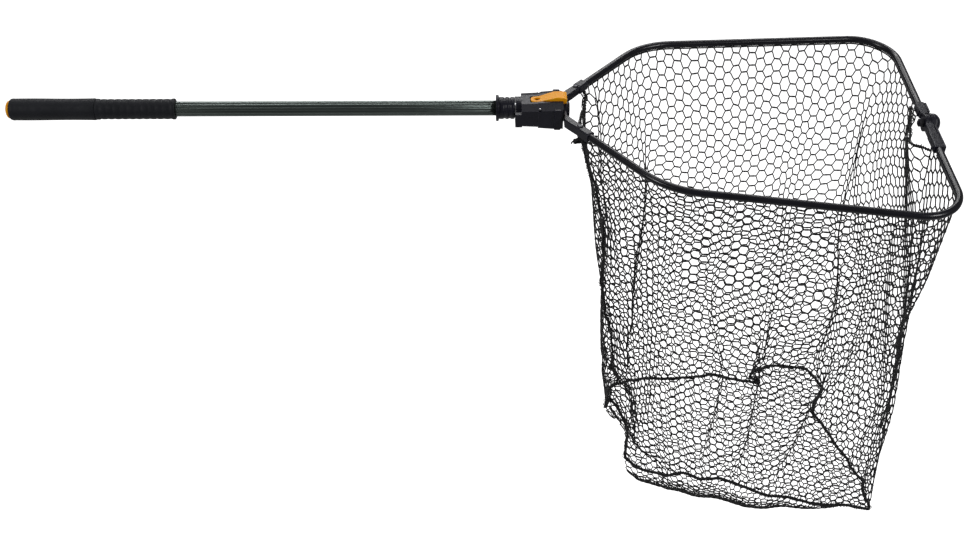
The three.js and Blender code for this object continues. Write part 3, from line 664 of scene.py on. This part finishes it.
# The bottom seam's plan, span by span, with the tucks that show in it.
SEAM_SPANS = [
    [(108, -10), (138, -40), (141, -56), (138, -105), (168, -130), (206, -142)],
    [(206, -142), (238, -130), (272, -146), (310, -140), (364, -158)]
    + [(399, -176), (437, -173), (473, -181), (531, -178), (584, -186)],
    [(584, -186), (590, -116), (572, -80), (560, -40)],
    [(560, -40), (548, -4), (532, 40)],
    [(532, 40), (523, 61), (537, 91), (561, 128), (556, 158), (534, 186)],
    [(534, 186), (460, 181), (426, 167), (413, 145), (432, 134)]
    + [(428, 126), (400, 129), (340, 142), (287, 133), (235, 118)],
    [(235, 118), (163, 104), (125, 85), (111, 50)],
    [(111, 50), (106, 20), (108, -10)],
]


def level_spans(corners):
    stops = np.array([*corners, corners[0]], float)
    return [stops[k : k + 2] for k in range(8)]


def round_sections(spans):
    """One closed section, with FINE points for each column of mesh."""
    parts = [resample(span, count * FINE + 1)[:-1] for span, count in zip(spans, SPANS)]
    return np.vstack(parts)


def soften(section, reach, passes=2):
    """Averages each point with its neighbours up to `reach` points away, round the loop."""
    for _ in range(passes):
        total = sum(np.roll(section, k, axis=0) for k in range(-reach, reach + 1))
        section = total / (2 * reach + 1)
    return section


def between_levels(levels, depths):
    """Cubic interpolation of the sections down the wall."""
    slopes = np.gradient(levels, DEPTHS, axis=0)
    k = np.clip(np.searchsorted(DEPTHS, depths, side="right") - 1, 0, len(DEPTHS) - 2)
    h = (DEPTHS[k + 1] - DEPTHS[k])[:, None, None]
    t = (depths - DEPTHS[k])[:, None, None] / h
    a, b = levels[k], levels[k + 1]
    da, db = slopes[k] * h, slopes[k + 1] * h
    curve = a * (2 * t**3 - 3 * t**2 + 1) + da * (t**3 - 2 * t**2 + t)
    return curve + b * (3 * t**2 - 2 * t**3) + db * (t**3 - t**2)


def ease(value, start, end):
    t = np.clip((value - start) / (end - start), 0, 1)
    return t * t * (3 - 2 * t)


# A fold that hangs down the wall. columns: where it is at the top, halfway and at the bottom. run:
# the depths where it begins, is full, starts to fade and is gone. tuck: how far it goes in. width:
# half its width in columns. gather: how tightly it draws the mesh together.
Fold = namedtuple("Fold", "columns run tuck width gather")
FOLDS = [
    Fold((112.4, 111.4, 113), (0.0, 0.04, 0.3, 0.55), tuck=14, width=1.6, gather=0.8),
    Fold((102, 103.4, 109), (0.1, 0.45, 0.9, 1), tuck=14, width=2.2, gather=0.75),
    Fold((82.2, 82.6, 83.8), (0.02, 0.4, 0.92, 1), tuck=12, width=3.6, gather=0.45),
    Fold((73.8, 74.4, 70), (0.05, 0.4, 0.95, 1), tuck=9, width=3.8, gather=0.4),
    Fold((90, 91, 92), (0.5, 0.8, 0.93, 1), tuck=12, width=1.8, gather=0.8),
    Fold((56, 55.6, 54.6), (-0.1, 0.12, 0.5, 0.85), tuck=11, width=4.6, gather=0.12),
    Fold((-36, -36, 14), (0.72, 0.84, 0.97, 1), tuck=12, width=2.6, gather=0.9),
]

# Loose waves in the wall: size in millimetres, waves round the bag, waves down it, and phase.
WAVES = [(5, 5, 1.3, 0.4), (4, 9, 0.8, 2.1), (3, 14, 2.4, 4.0), (2.2, 23, 3.1, 1.0)]

# The waves are damped about the front hinge, where the bag is held taut.
TAUT = {"column": 60, "width": 9, "damping": 0.7}

# The seam is lifted at the back, where the side seam draws it up.
SEAM_LIFT = {"height": 52, "width": 3.4}
COLUMN_PITCH = 13.0


def columns_from(column, centre):
    """Signed distance in columns from a centre, the short way round the bag."""
    return (column - centre + COLUMNS / 2) % COLUMNS - COLUMNS / 2


def wall_grid(depths):
    """Points of the bag's wall: (depths, samples round, 3), in the head frame."""
    hem = round_sections(hem_spans())
    seam = round_sections([np.array(s, float) for s in SEAM_SPANS])
    middle = [soften(round_sections(level_spans(c)), 8) for c in LEVEL_CORNERS]
    plan = between_levels(np.stack([hem[:, :2], *middle, soften(seam, 1)]), depths)
    column = np.arange(COLUMNS * FINE) / FINE
    lift = SEAM_LIFT["height"] * np.exp(-((columns_from(column, 0) / SEAM_LIFT["width"]) ** 2))
    bottom = bottom_height(seam[:, 0]) + lift
    height = hem[:, 2] + (bottom - hem[:, 2]) * depths[:, None]

    along = np.roll(plan, -3, axis=1) - np.roll(plan, 3, axis=1)
    along = unit(soften(along.transpose(1, 0, 2), 4, 1).transpose(1, 0, 2))
    inward = np.stack([-along[..., 1], along[..., 0]], -1)
    shift_in = np.zeros(plan.shape[:2])
    shift_along = np.zeros(plan.shape[:2])
    for fold in FOLDS:
        centre = np.interp(depths, [0, 0.5, 1], fold.columns)[:, None]
        away = columns_from(column[None], centre)
        near = np.exp(-((away / fold.width) ** 2))
        begin, full, fading, gone = fold.run
        amount = (ease(depths, begin, full) * (1 - ease(depths, fading, gone)))[:, None]
        shift_in += amount * fold.tuck * near
        shift_along -= amount * fold.gather * away * COLUMN_PITCH * near
    waves = np.zeros(plan.shape[:2])
    for size, around, down, phase in WAVES:
        turns = around * column[None] / COLUMNS + down * depths[:, None]
        waves += size * np.sin(2 * math.pi * turns + phase)
    waves *= (ease(depths, 0, 0.25) * (1 - 0.6 * ease(depths, 0.85, 1)))[:, None]
    waves *= 1 - TAUT["damping"] * np.exp(-(((column - TAUT["column"]) / TAUT["width"]) ** 2))
    plan = plan + inward * (shift_in + waves)[..., None] + along * shift_along[..., None]
    return np.concatenate([plan, height[..., None]], -1)


WALL_DEPTHS = np.linspace(0, 1, 4 * ROWS + 1)
WALL = wall_grid(WALL_DEPTHS)


def wall_point(column, depth):
    """Bilinear look-up on the wall, for arrays of columns and depths 0..1."""
    s = np.mod(np.asarray(column, float), COLUMNS) * FINE
    d = np.clip(np.asarray(depth, float), 0, 1) * (len(WALL_DEPTHS) - 1)
    s0 = np.floor(s).astype(int)
    d0 = np.minimum(np.floor(d).astype(int), len(WALL_DEPTHS) - 2)
    fs, fd = (s - s0)[..., None], (d - d0)[..., None]
    s0 = s0 % (COLUMNS * FINE)
    s1 = (s0 + 1) % (COLUMNS * FINE)
    upper = WALL[d0, s0] * (1 - fs) + WALL[d0, s1] * fs
    lower = WALL[d0 + 1, s0] * (1 - fs) + WALL[d0 + 1, s1] * fs
    return upper * (1 - fd) + lower * fd


# ------------------------------------------------------------------ soft pieces


def hang_from(piece):
    """Bakes a soft piece's placement into its mesh."""
    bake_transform(piece)


# ------------------------------------------------------------------ netting

TWINE_RADIUS = 1.14
JOINT_RADIUS = 1.6

# Half of a joint's length, as a share of the space between two columns.
JOINT_HALF = 0.31

# The bottom panel: the space between its columns and its rows, its twine's thickness as a share of
# the wall's, how unevenly its joints lie, and how its rows bow.
PANEL = {"pitch": 10.2, "rise": 12.6, "thickness": 0.9, "wobble": 0.8, "bow": 6, "bow_rate": 0.21}


def joint_radii(count, thickness=1):
    """Radii along each of the joints, which are thickest in the middle."""
    end = 0.8 * JOINT_RADIUS
    return np.tile([end, JOINT_RADIUS, end], (count, 1)) * thickness


def upright(count):
    """One upward direction for each bar."""
    return np.tile([0, 0, 1.0], (count, 1))


def strand_paths(starts, ends, start_leads, end_leads, share):
    """Gently curved strands that leave and meet their joints along the joints' own lines.

    Each argument but the last is a list of arrays, which are joined here. share is how much of a
    strand's length each end leads along its joint's line.
    """
    starts, ends = np.vstack(starts), np.vstack(ends)
    reach = share * np.linalg.norm(ends - starts, axis=1, keepdims=True)
    t = np.linspace(0, 1, 4)[None, :, None]
    a, d = starts[:, None], ends[:, None]
    b = a + (np.vstack(start_leads) * reach)[:, None]
    c = d - (np.vstack(end_leads) * reach)[:, None]
    return a * (1 - t) ** 3 + 3 * b * t * (1 - t) ** 2 + 3 * c * t**2 * (1 - t) + d * t**3


def split_sides(middles):
    return {"near": middles[:, 1] < 0, "far": middles[:, 1] >= 0}


def net_pieces(prefix, joints, strands, hints, replaced):
    """Makes the near and far halves of one panel of net from its joints and strands."""
    for kind, paths, radius, sides in (("joints", *joints, 6), ("twine", *strands, 5)):
        hint = hints[kind]
        for side, chosen in split_sides(paths[:, paths.shape[1] // 2]).items():
            points, faces = many_tubes(paths[chosen], radius[chosen], sides, hint[chosen])
            piece = make_mesh(f"{side}_{prefix}_{kind}", points, faces, "net")
            hang_from(piece)
            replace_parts(piece, replaced)


def wall_net():
    """The bag's wall: joints on a staggered grid, and the strands between them."""
    half_rows = 2 * ROWS
    column, step = np.meshgrid(np.arange(COLUMNS), np.arange(half_rows + 1), indexing="ij")
    present = (column + step) % 2 == 0
    wobble = random.normal(0, 1, (3, COLUMNS, half_rows + 1))
    at = column + 0.035 * wobble[0]
    down = (step + 0.05 * wobble[1] * ((step > 0) & (step < half_rows))) / half_rows
    half = JOINT_HALF * (1 + 0.1 * wobble[2])
    tilt = 0.06 * random.normal(0, 1, column.shape) / half_rows
    left = wall_point(at - half, down - tilt)
    right = wall_point(at + half, down + tilt)
    centre = wall_point(at, down)
    lead = unit(right - left)

    c, s = column[present], step[present]
    paths = np.stack([left[c, s], centre[c, s], right[c, s]], 1)
    joints = (paths, joint_radii(len(c)))
    starts, ends, leads_a, leads_b = [], [], [], []
    for way in (-1, 1):
        ok = (s + way >= 0) & (s + way <= half_rows)
        a, b = c[ok], s[ok]
        starts.append(right[a, b])
        ends.append(left[(a + 1) % COLUMNS, b + way])
        leads_a.append(lead[a, b])
        leads_b.append(lead[(a + 1) % COLUMNS, b + way])
    curves = strand_paths(starts, ends, leads_a, leads_b, 0.16)
    strands = (curves, np.full(curves.shape[:2], TWINE_RADIUS))
    across = unit(np.cross(curves[:, -1] - curves[:, 0], [0.3, 1, 0.2]))
    hints = {"joints": upright(len(paths)), "twine": across}
    net_pieces("wall_net", joints, strands, hints, "net_bag")


SEAM_RING = wall_point(np.arange(0, COLUMNS, 0.25), np.ones(COLUMNS * 4))


def distance_inside(points, ring):
    """How far each plan point is inside a closed ring, and the ring's height nearest to it."""
    a = ring[:, :2]
    b = np.roll(a, -1, axis=0)
    p = points[:, None, :2]
    edge = b - a
    t = np.clip(((p - a) * edge).sum(-1) / np.maximum((edge**2).sum(-1), 1e-9), 0, 1)
    nearest = a + t[..., None] * edge
    gap = np.linalg.norm(p - nearest, axis=-1)
    closest = gap.argmin(1)
    spans = (a[:, 1] > p[..., 1]) != (b[:, 1] > p[..., 1])
    rise = np.where(edge[:, 1] == 0, 1e-9, edge[:, 1])
    crossing_x = a[:, 0] + (p[..., 1] - a[:, 1]) * edge[:, 0] / rise
    inside = (spans & (p[..., 0] < crossing_x)).sum(1) % 2 == 1
    share = t[np.arange(len(points)), closest]
    height = ring[closest, 2] * (1 - share) + np.roll(ring[:, 2], -1)[closest] * share
    return np.where(inside, 1, -1) * gap.min(1), height


# Creases that run across the bottom panel from the tucks in its seam.
CREASES = [
    [(430, 142), (391, 8), (353, -79)],
    [(360, 145), (323, 39), (297, -26)],
    [(523, 66), (477, -20), (435, -81)],
]
CREASE = {"height": 20, "width": 21, "gather": 0.9}

# How deep the panel's belly hangs below its near seam, from the handle's end to the front, and the
# rounding of its near edge: a quarter ellipse as broad as a share of its depth, which takes up a
# multiple of its depth in slack mesh.
BELLY = {
    "x": [104, 130, 160, 206, 238, 272, 310, 364, 399, 437, 473, 531, 576],
    "depth": [10, 34, 52, 55, 84, 84, 92, 82, 62, 45, 30, 7, 1],
    "breadth": 0.5,
    "slack": 1.9,
}


def seam_edges():
    """The near and far limits of the bottom seam at each x, as (x, near y, far y)."""
    x = np.arange(SEAM_RING[:, 0].min(), SEAM_RING[:, 0].max(), 4.0)
    near, far = [], []
    for start in x:
        strip = SEAM_RING[np.abs(SEAM_RING[:, 0] - start) < 6]
        near.append(strip[:, 1].min())
        far.append(strip[:, 1].max())
    return x, np.array(near), np.array(far)


SEAM_EDGES = seam_edges()


def hang_belly(plan):
    """Wraps flat panel points round the belly: new plan points and how far each one drops."""
    near = np.interp(plan[:, 0], SEAM_EDGES[0], SEAM_EDGES[1])
    width = np.interp(plan[:, 0], SEAM_EDGES[0], SEAM_EDGES[2]) - near
    deep = np.interp(plan[:, 0], BELLY["x"], BELLY["depth"])
    broad = deep * BELLY["breadth"]
    arc = deep * BELLY["slack"]
    along = plan[:, 1] - near + arc - broad
    turn = np.clip(along / np.maximum(arc, 1e-6), 0, 1) * math.pi / 2
    inside = np.where(along < arc, broad * (1 - np.cos(turn)), along - arc + broad)
    inside = np.where(along < 0, along, inside)
    rise = np.clip((inside - broad) / np.maximum(width - broad, 1), 0, 1)
    drop = deep * np.sin(turn) * (1 - rise**2)
    return np.column_stack([plan[:, 0], near + inside]), np.where(along < 0, 0, drop)


def panel_points(plan):
    """Flat panel points put on the hanging panel, and how far inside the seam each one is."""
    plan = plan.copy()
    crease = np.zeros(len(plan))
    for line in CREASES:
        line = np.array(line, float)[::-1]
        across = plan[:, 0] - np.interp(plan[:, 1], line[:, 1], line[:, 0])
        fade = ease(plan[:, 1], line[0, 1] - 30, line[0, 1] + 60) * (plan[:, 1] < line[-1, 1] + 15)
        near = fade * np.exp(-((across / CREASE["width"]) ** 2))
        crease += CREASE["height"] * near
        plan[:, 0] -= CREASE["gather"] * across * near
    hung, drop = hang_belly(plan)
    inside, rim = distance_inside(hung, SEAM_RING)
    depth = np.clip(inside, 0, None)
    keep = np.exp(-depth / 25)
    level = bottom_height(hung[:, 0]) * (1 - keep) + rim * keep - 8 * (1 - np.exp(-depth / 70))
    height = level - drop + crease * ease(depth, 0, 10)
    return np.column_stack([hung, height]), inside


def bottom_net():
    """The bottom panel: the same mesh laid flat, cut off at the seam and hung in its belly."""
    pitch, rise, margin, shortest = PANEL["pitch"], PANEL["rise"], 20, 1.5
    x0, x1 = SEAM_RING[:, 0].min() - margin, SEAM_RING[:, 0].max() + margin
    y0 = SEAM_RING[:, 1].min() - max(BELLY["depth"]) * BELLY["slack"]
    y1 = SEAM_RING[:, 1].max() + margin
    columns, steps = int((x1 - x0) / pitch), int(2 * (y1 - y0) / rise)
    column, step = np.meshgrid(np.arange(columns), np.arange(steps), indexing="ij")
    wobble = random.normal(0, PANEL["wobble"], (2, *column.shape))
    cx = x0 + column * pitch + wobble[0]
    cy = y0 + step * rise / 2 + wobble[1] + PANEL["bow"] * np.sin(column * PANEL["bow_rate"])
    half = JOINT_HALF * pitch

    def on_panel(x, y):
        plan = np.stack([x, y], -1).reshape(-1, 2)
        points, inside = panel_points(plan)
        return points.reshape(*x.shape, 3), inside.reshape(x.shape)

    left, in_left = on_panel(cx - half, cy)
    right, in_right = on_panel(cx + half, cy)
    lead = unit(right - left)
    present = (column + step) % 2 == 0
    good = present & (in_left > 0) & (in_right > 0)
    c, s = column[good], step[good]
    paths = np.stack([left[c, s], (left[c, s] + right[c, s]) / 2, right[c, s]], 1)
    joints = (paths, joint_radii(len(c), PANEL["thickness"]))
    starts, ends, leads_a, leads_b = [], [], [], []
    c, s = column[present], step[present]
    for way in (-1, 1):
        ok = (s + way >= 0) & (s + way < column.shape[1]) & (c + 1 < column.shape[0])
        a, b = c[ok], s[ok]
        from_in, to_in = in_right[a, b], in_left[a + 1, b + way]
        start, end = right[a, b], left[a + 1, b + way]
        either = np.maximum(from_in, to_in) > 0
        clip_start = either & (from_in <= 0)
        clip_end = either & (to_in <= 0)
        cut = np.abs(from_in) / np.maximum(np.abs(from_in) + np.abs(to_in), 1e-6)
        meet = start + (end - start) * cut[:, None]
        start = np.where(clip_start[:, None], meet, start)
        end = np.where(clip_end[:, None], meet, end)
        kept = either & (np.linalg.norm(end - start, axis=1) > shortest)
        starts.append(start[kept])
        ends.append(end[kept])
        leads_a.append(lead[a, b][kept])
        leads_b.append(lead[a + 1, b + way][kept])
    curves = strand_paths(starts, ends, leads_a, leads_b, 0.14)
    strands = (curves, np.full(curves.shape[:2], PANEL["thickness"] * TWINE_RADIUS))
    hints = {"joints": upright(len(paths)), "twine": upright(len(curves))}
    net_pieces("bottom_net", joints, strands, hints, "bag_bottom")


# ------------------------------------------------------------------ cords


def twisted_cord(name, path, radius):
    """A cord laid up from three strands that wind round each other."""
    strands, sides, pitch, ragged = 3, 7, 9.0, 0.12
    count = max(8, int(distances_along(path)[-1] / 1.6))
    path = resample(path, count)
    normals, sideways = carried_frames(path)
    along = distances_along(path)
    points, faces = [], []
    for k in range(strands):
        angle = (2 * math.pi * (along / pitch + k / strands))[:, None]
        bulge = 1 + ragged * np.sin(along * 0.9 + 2.1 * k)[:, None]
        line = path + 0.5 * radius * bulge * (normals * np.cos(angle) + sideways * np.sin(angle))
        ends = np.arange(sides)
        base = k * count * sides
        points.append(tube_points(line, 0.56 * radius, sides))
        faces.append(ring_faces(count, sides) + base)
        faces.append(np.stack([ends[::-1], ends + (count - 1) * sides]) + base)
    return make_mesh(name, np.vstack(points), [np.vstack(faces[::2]), np.vstack(faces[1::2])], "cord")


def stitches(name, path, spacing, reach):
    """Short wraps of twine that sew the net's edge to a cord."""
    thickness = 0.55
    count = max(2, int(distances_along(path)[-1] / spacing))
    centres = resample(path, count)
    tangents = unit(np.gradient(centres, axis=0))
    steps = 9
    turn = np.linspace(0, 2 * math.pi * 0.93, steps)[None, :, None]
    up = unit(np.cross(tangents, random.normal(0, 1, (count, 3))))
    side = np.cross(tangents, up)
    size = reach * (1 + 0.25 * random.normal(0, 1, count))[:, None, None]
    lean = (random.normal(0, 0.6, (count, 1, 1)) + 1) * (turn / math.pi - 1) * 1.6
    wraps = up[:, None] * np.cos(turn) + side[:, None] * np.sin(turn)
    paths = centres[:, None] + size * wraps + lean * tangents[:, None]
    radii = np.full((count, steps), thickness)
    points, faces = many_tubes(paths, radii, 5, tangents + 0.01)
    return make_mesh(name, points, faces, "cord")


def sewn_cord(name, path, radius, replaced):
    """A twisted cord with its stitching."""
    cord = twisted_cord(name, path, radius)
    sewing = stitches(f"{name}_stitches", path, 6.5, radius + 0.7)
    hang_from(cord)
    hang_from(sewing)
    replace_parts(cord, replaced)


def wander(path, amount, wavelength, seed):
    """Adds a soft irregular wave to a path."""
    local = np.random.default_rng(seed)
    along = distances_along(path)
    taper = np.clip(np.minimum(along, along[-1] - along) / wavelength, 0, 1)[:, None]
    offset = np.zeros_like(path)
    for scale in (1.0, 0.47, 0.23):
        phase = local.uniform(0, 2 * math.pi, 3)
        offset += scale * np.sin(2 * math.pi * along[:, None] / (wavelength * scale * 1.3) + phase)
    return path + amount * offset * taper * 0.6


def bottom_seam():
    """The cord round the bottom panel, in a near and a far half that meet under the fold's axis."""
    columns = np.arange(0, COLUMNS + 0.01, 0.25)
    ring = wall_point(columns, np.ones(len(columns))) + [0, 0, -2.0]
    front = columns > 40
    near_end = int(np.argmax((ring[:, 1] > 0) & front))
    halves = (("near", ring[: near_end + 1], 3), ("far", ring[near_end:], 4))
    for side, line, seed in halves:
        sewn_cord(f"{side}_bottom_seam", wander(line, 1.6, 46, seed), 2.9, "bottom_seam_cord")


def side_seam():
    """The seam down the back of the wall, tied off at its top under the near arm."""
    line = wall_point(np.zeros(60), np.linspace(0, 1, 60))
    outward = np.array([-1.0, -0.35, 0.0])
    line = line + unit(outward) * 2.5
    top = hoop_to_head(np.array([[24, -74, -10.0], [30, -76, -14.0]]))
    line = np.vstack([top, line[2:]])
    sewn_cord("side_seam", wander(smooth_path(line, 3), 2.6, 60, 5), 1.9, "side_seam_cord")


def seam_knot():
    """The loose knot that ties the side seam off under the near arm."""
    place = np.array([19.0, -65.0, -15.0])
    turns = np.linspace(0, 2 * math.pi * 3, 60)
    coil = np.stack([7 * np.cos(turns), 3.5 * np.sin(turns * 1.31), 3.4 * np.sin(turns + 0.6)], -1)
    tail = np.array([(0, 0, 0), (-5, 2, -1), (-9, 1, -3), (-11, -1, -6)], float)
    for name, line, radius in (("seam_knot", coil, 1.5), ("seam_knot_tail", tail, 1.3)):
        piece = twisted_cord(name, smooth_path(hoop_to_head(place + line), 1.5), radius)
        hang_from(piece)


def bridging_cords():
    """The sewn cords that close the bag's mouth across the hoop's two gaps, each in two halves."""
    hub_line = [(20, -66), *HUB_BRIDGE, (36.5, 74)]
    for name, line, seed in (("hub", hub_line, 3), ("hinge", HINGE_BRIDGE, 5)):
        path = wander(smooth_path(hoop_to_head(bridge(line)), 2), 0.9, 30, seed)
        crossing = int(np.argmax(path[:, 1] > 0))
        for side, part in (("near", path[: crossing + 1]), ("far", path[crossing:])):
            piece = twisted_cord(f"{side}_{name}_bridge_cord", part, 2.0)
            hang_from(piece)
            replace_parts(piece, f"{name}_hem_cord")
            wraps = stitches(f"{side}_{name}_bridge_stitches", part, 4.2, 2.5)
            hang_from(wraps)


def hem_cords():
    """The cord in the hem, tucked close under each hoop tube."""
    for side in SIGN:
        path = resample(hoop_tube_path(side), 600)
        past_arm = np.linalg.norm(path[:, :2] - HOOP["root"], axis=1) > 64
        before_hinge = (path[:, 0] < 570) | (path[:, 1] > SOCKET_END[side] + 12)
        path = tucked_under(path[past_arm & before_hinge], 3.4, 6.6)
        path = hoop_to_head(mirrored(path, side))
        piece = twisted_cord(f"{side}_hem_cord_twist", path, 1.35)
        stand_in(piece, f"{side}_half", f"{side}_hem_cord")


# ------------------------------------------------------------------ CAD pieces kept

# How far the edges of each moulded node are rounded.
BEVELS = {
    "hub_body": 0.7,
    "release_latch": 0.6,
    "lock_collar": 0.5,
    "front_hinge_cap": 0.4,
    "fold_bolt": 0.4,
    "butt_cap": 0.3,
}
for side_name in SIGN:
    BEVELS[f"{side_name}_arm"] = 0.6
    BEVELS[f"{side_name}_hinge_socket"] = 0.5
    BEVELS[f"{side_name}_hinge_cover"] = 0.5


def finish_cad_node(name, node):
    """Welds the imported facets, rounds their edges and gives the node its finished material."""
    slots = {row["node"]: row["material_slot"] for row in frame["record"]["subparts"]}
    slot = slots[name]
    node.data.materials.clear()
    node.data.materials.append(LOOKS[slot])
    weld = node.modifiers.new("weld", "WELD")
    weld.merge_threshold = 0.00002
    if name in BEVELS:
        bevel = node.modifiers.new("edges", "BEVEL")
        bevel.width = BEVELS[name] / 1000
        bevel.segments = 2
        bevel.limit_method = "ANGLE"
        bevel.angle_limit = math.radians(28)
        bevel.harden_normals = True
        bevel.use_clamp_overlap = True


def press_latch_spring():
    """Gives the latch spring its own copy of its mesh."""
    spring = frame["nodes"]["latch_spring"]
    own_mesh(spring)


# ------------------------------------------------------------------ studio


def area_light(name, place, target, size, power):
    light = bpy.data.lights.new(name, "AREA")
    light.shape = "RECTANGLE"
    light.size, light.size_y = size
    light.energy = power
    lamp = bpy.data.objects.new(name, light)
    bpy.context.scene.collection.objects.link(lamp)
    lamp.location = place
    lamp.rotation_euler = (Vector(target) - Vector(place)).to_track_quat("-Z", "Y").to_euler()


def studio_floor():
    """A pale paper floor that looks evenly white to the camera and lights nothing."""
    height, size = -1.9, 14
    corners = [(-size, -size, height), (size, -size, height), (size, size, height), (-size, size, height)]
    mesh = bpy.data.meshes.new("studio_floor")
    mesh.from_pydata(corners, [], [(0, 1, 2, 3)])
    floor = bpy.data.objects.new("studio_floor", mesh)
    bpy.context.scene.collection.objects.link(floor)
    paper = Nodes("floor_paper")
    paper.colour(paper.ramp(paper.noise(3, 2), (0.78, 0.78, 0.78), (0.8, 0.8, 0.8)))
    paper.set(Roughness=0.95, Emission_Color=(1, 1, 1, 1))
    seen = paper.add("ShaderNodeLightPath").outputs["Is Camera Ray"]
    glow = paper.add("ShaderNodeMath", operation="MULTIPLY")
    glow.inputs[1].default_value = 0.95
    paper.link(seen, glow.inputs[0])
    paper.link(glow.outputs["Value"], paper.shader.inputs["Emission Strength"])
    mesh.materials.append(paper.material)


def studio_world():
    """White to the camera, and a dim fill for everything else, so that black stays black."""
    world = bpy.data.worlds.new("studio")
    world.use_nodes = True
    tree = world.node_tree
    background = tree.nodes["Background"]
    background.inputs["Color"].default_value = (1, 1, 1, 1)
    seen = tree.nodes.new("ShaderNodeLightPath").outputs["Is Camera Ray"]
    level = tree.nodes.new("ShaderNodeMapRange")
    level.inputs["To Min"].default_value = 0.14
    level.inputs["To Max"].default_value = 1.0
    tree.links.new(seen, level.inputs["Value"])
    tree.links.new(level.outputs["Result"], background.inputs["Strength"])
    bpy.context.scene.world = world


def studio_lights():
    """Soft boxes behind and above the net for its sheen, and one at each side for its colours."""
    middle = (HEAD_X / 1000, 0, -0.1)
    area_light("overhead", (0.8, 0.5, 2.6), middle, (3.2, 0.5), 9)
    area_light("back_box", (0.8, 2.7, 2.1), middle, (3.6, 0.45), 42)
    area_light("rim", (0.8, 3.0, 1.0), middle, (3.6, 0.3), 24)
    area_light("left_fill", (-2.2, -1.7, 1.9), middle, (1.0, 1.0), 42)
    area_light("right_fill", (3.6, -1.7, 1.9), middle, (1.0, 1.0), 42)


def camera():
    """Looks down at the net from the handle's left, at 40 degrees."""
    elevation, heading, roll = math.radians(40), math.radians(-0.79), math.radians(0.26)
    level_ahead = Vector((-math.sin(heading), math.cos(heading), 0))
    ahead = level_ahead * math.cos(elevation) + Vector((0, 0, -math.sin(elevation)))
    right = Vector((math.cos(heading), math.sin(heading), 0))
    up = right.cross(ahead)
    tilted_right = right * math.cos(roll) + up * math.sin(roll)
    tilted_up = up * math.cos(roll) - right * math.sin(roll)
    data = bpy.data.cameras.new("camera")
    data.sensor_width = 36
    data.sensor_fit = "HORIZONTAL"
    data.lens = 50.61
    data.clip_end = 50
    lens = bpy.data.objects.new("camera", data)
    bpy.context.scene.collection.objects.link(lens)
    place = Matrix((tilted_right, tilted_up, -ahead)).transposed().to_4x4()
    place.translation = to_row([-145.9, -1854.9, 1208.2])
    lens.matrix_world = place
    bpy.context.scene.camera = lens


# ------------------------------------------------------------------ assembly

butt_grip()
ribbed_grip()
fluted_tube()
for side_name in SIGN:
    hoop_tube(side_name)
wall_net()
bottom_net()
bottom_seam()
side_seam()
seam_knot()
bridging_cords()
hem_cords()
replaced_nodes = {name for piece in bpy.data.objects for name in piece.get("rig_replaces", [])}
for node_name, cad_node in frame["nodes"].items():
    if node_name not in replaced_nodes:
        finish_cad_node(node_name, cad_node)
press_latch_spring()
bpy.context.scene.view_settings.view_transform = "Standard"
studio_floor()
studio_world()
studio_lights()
camera()
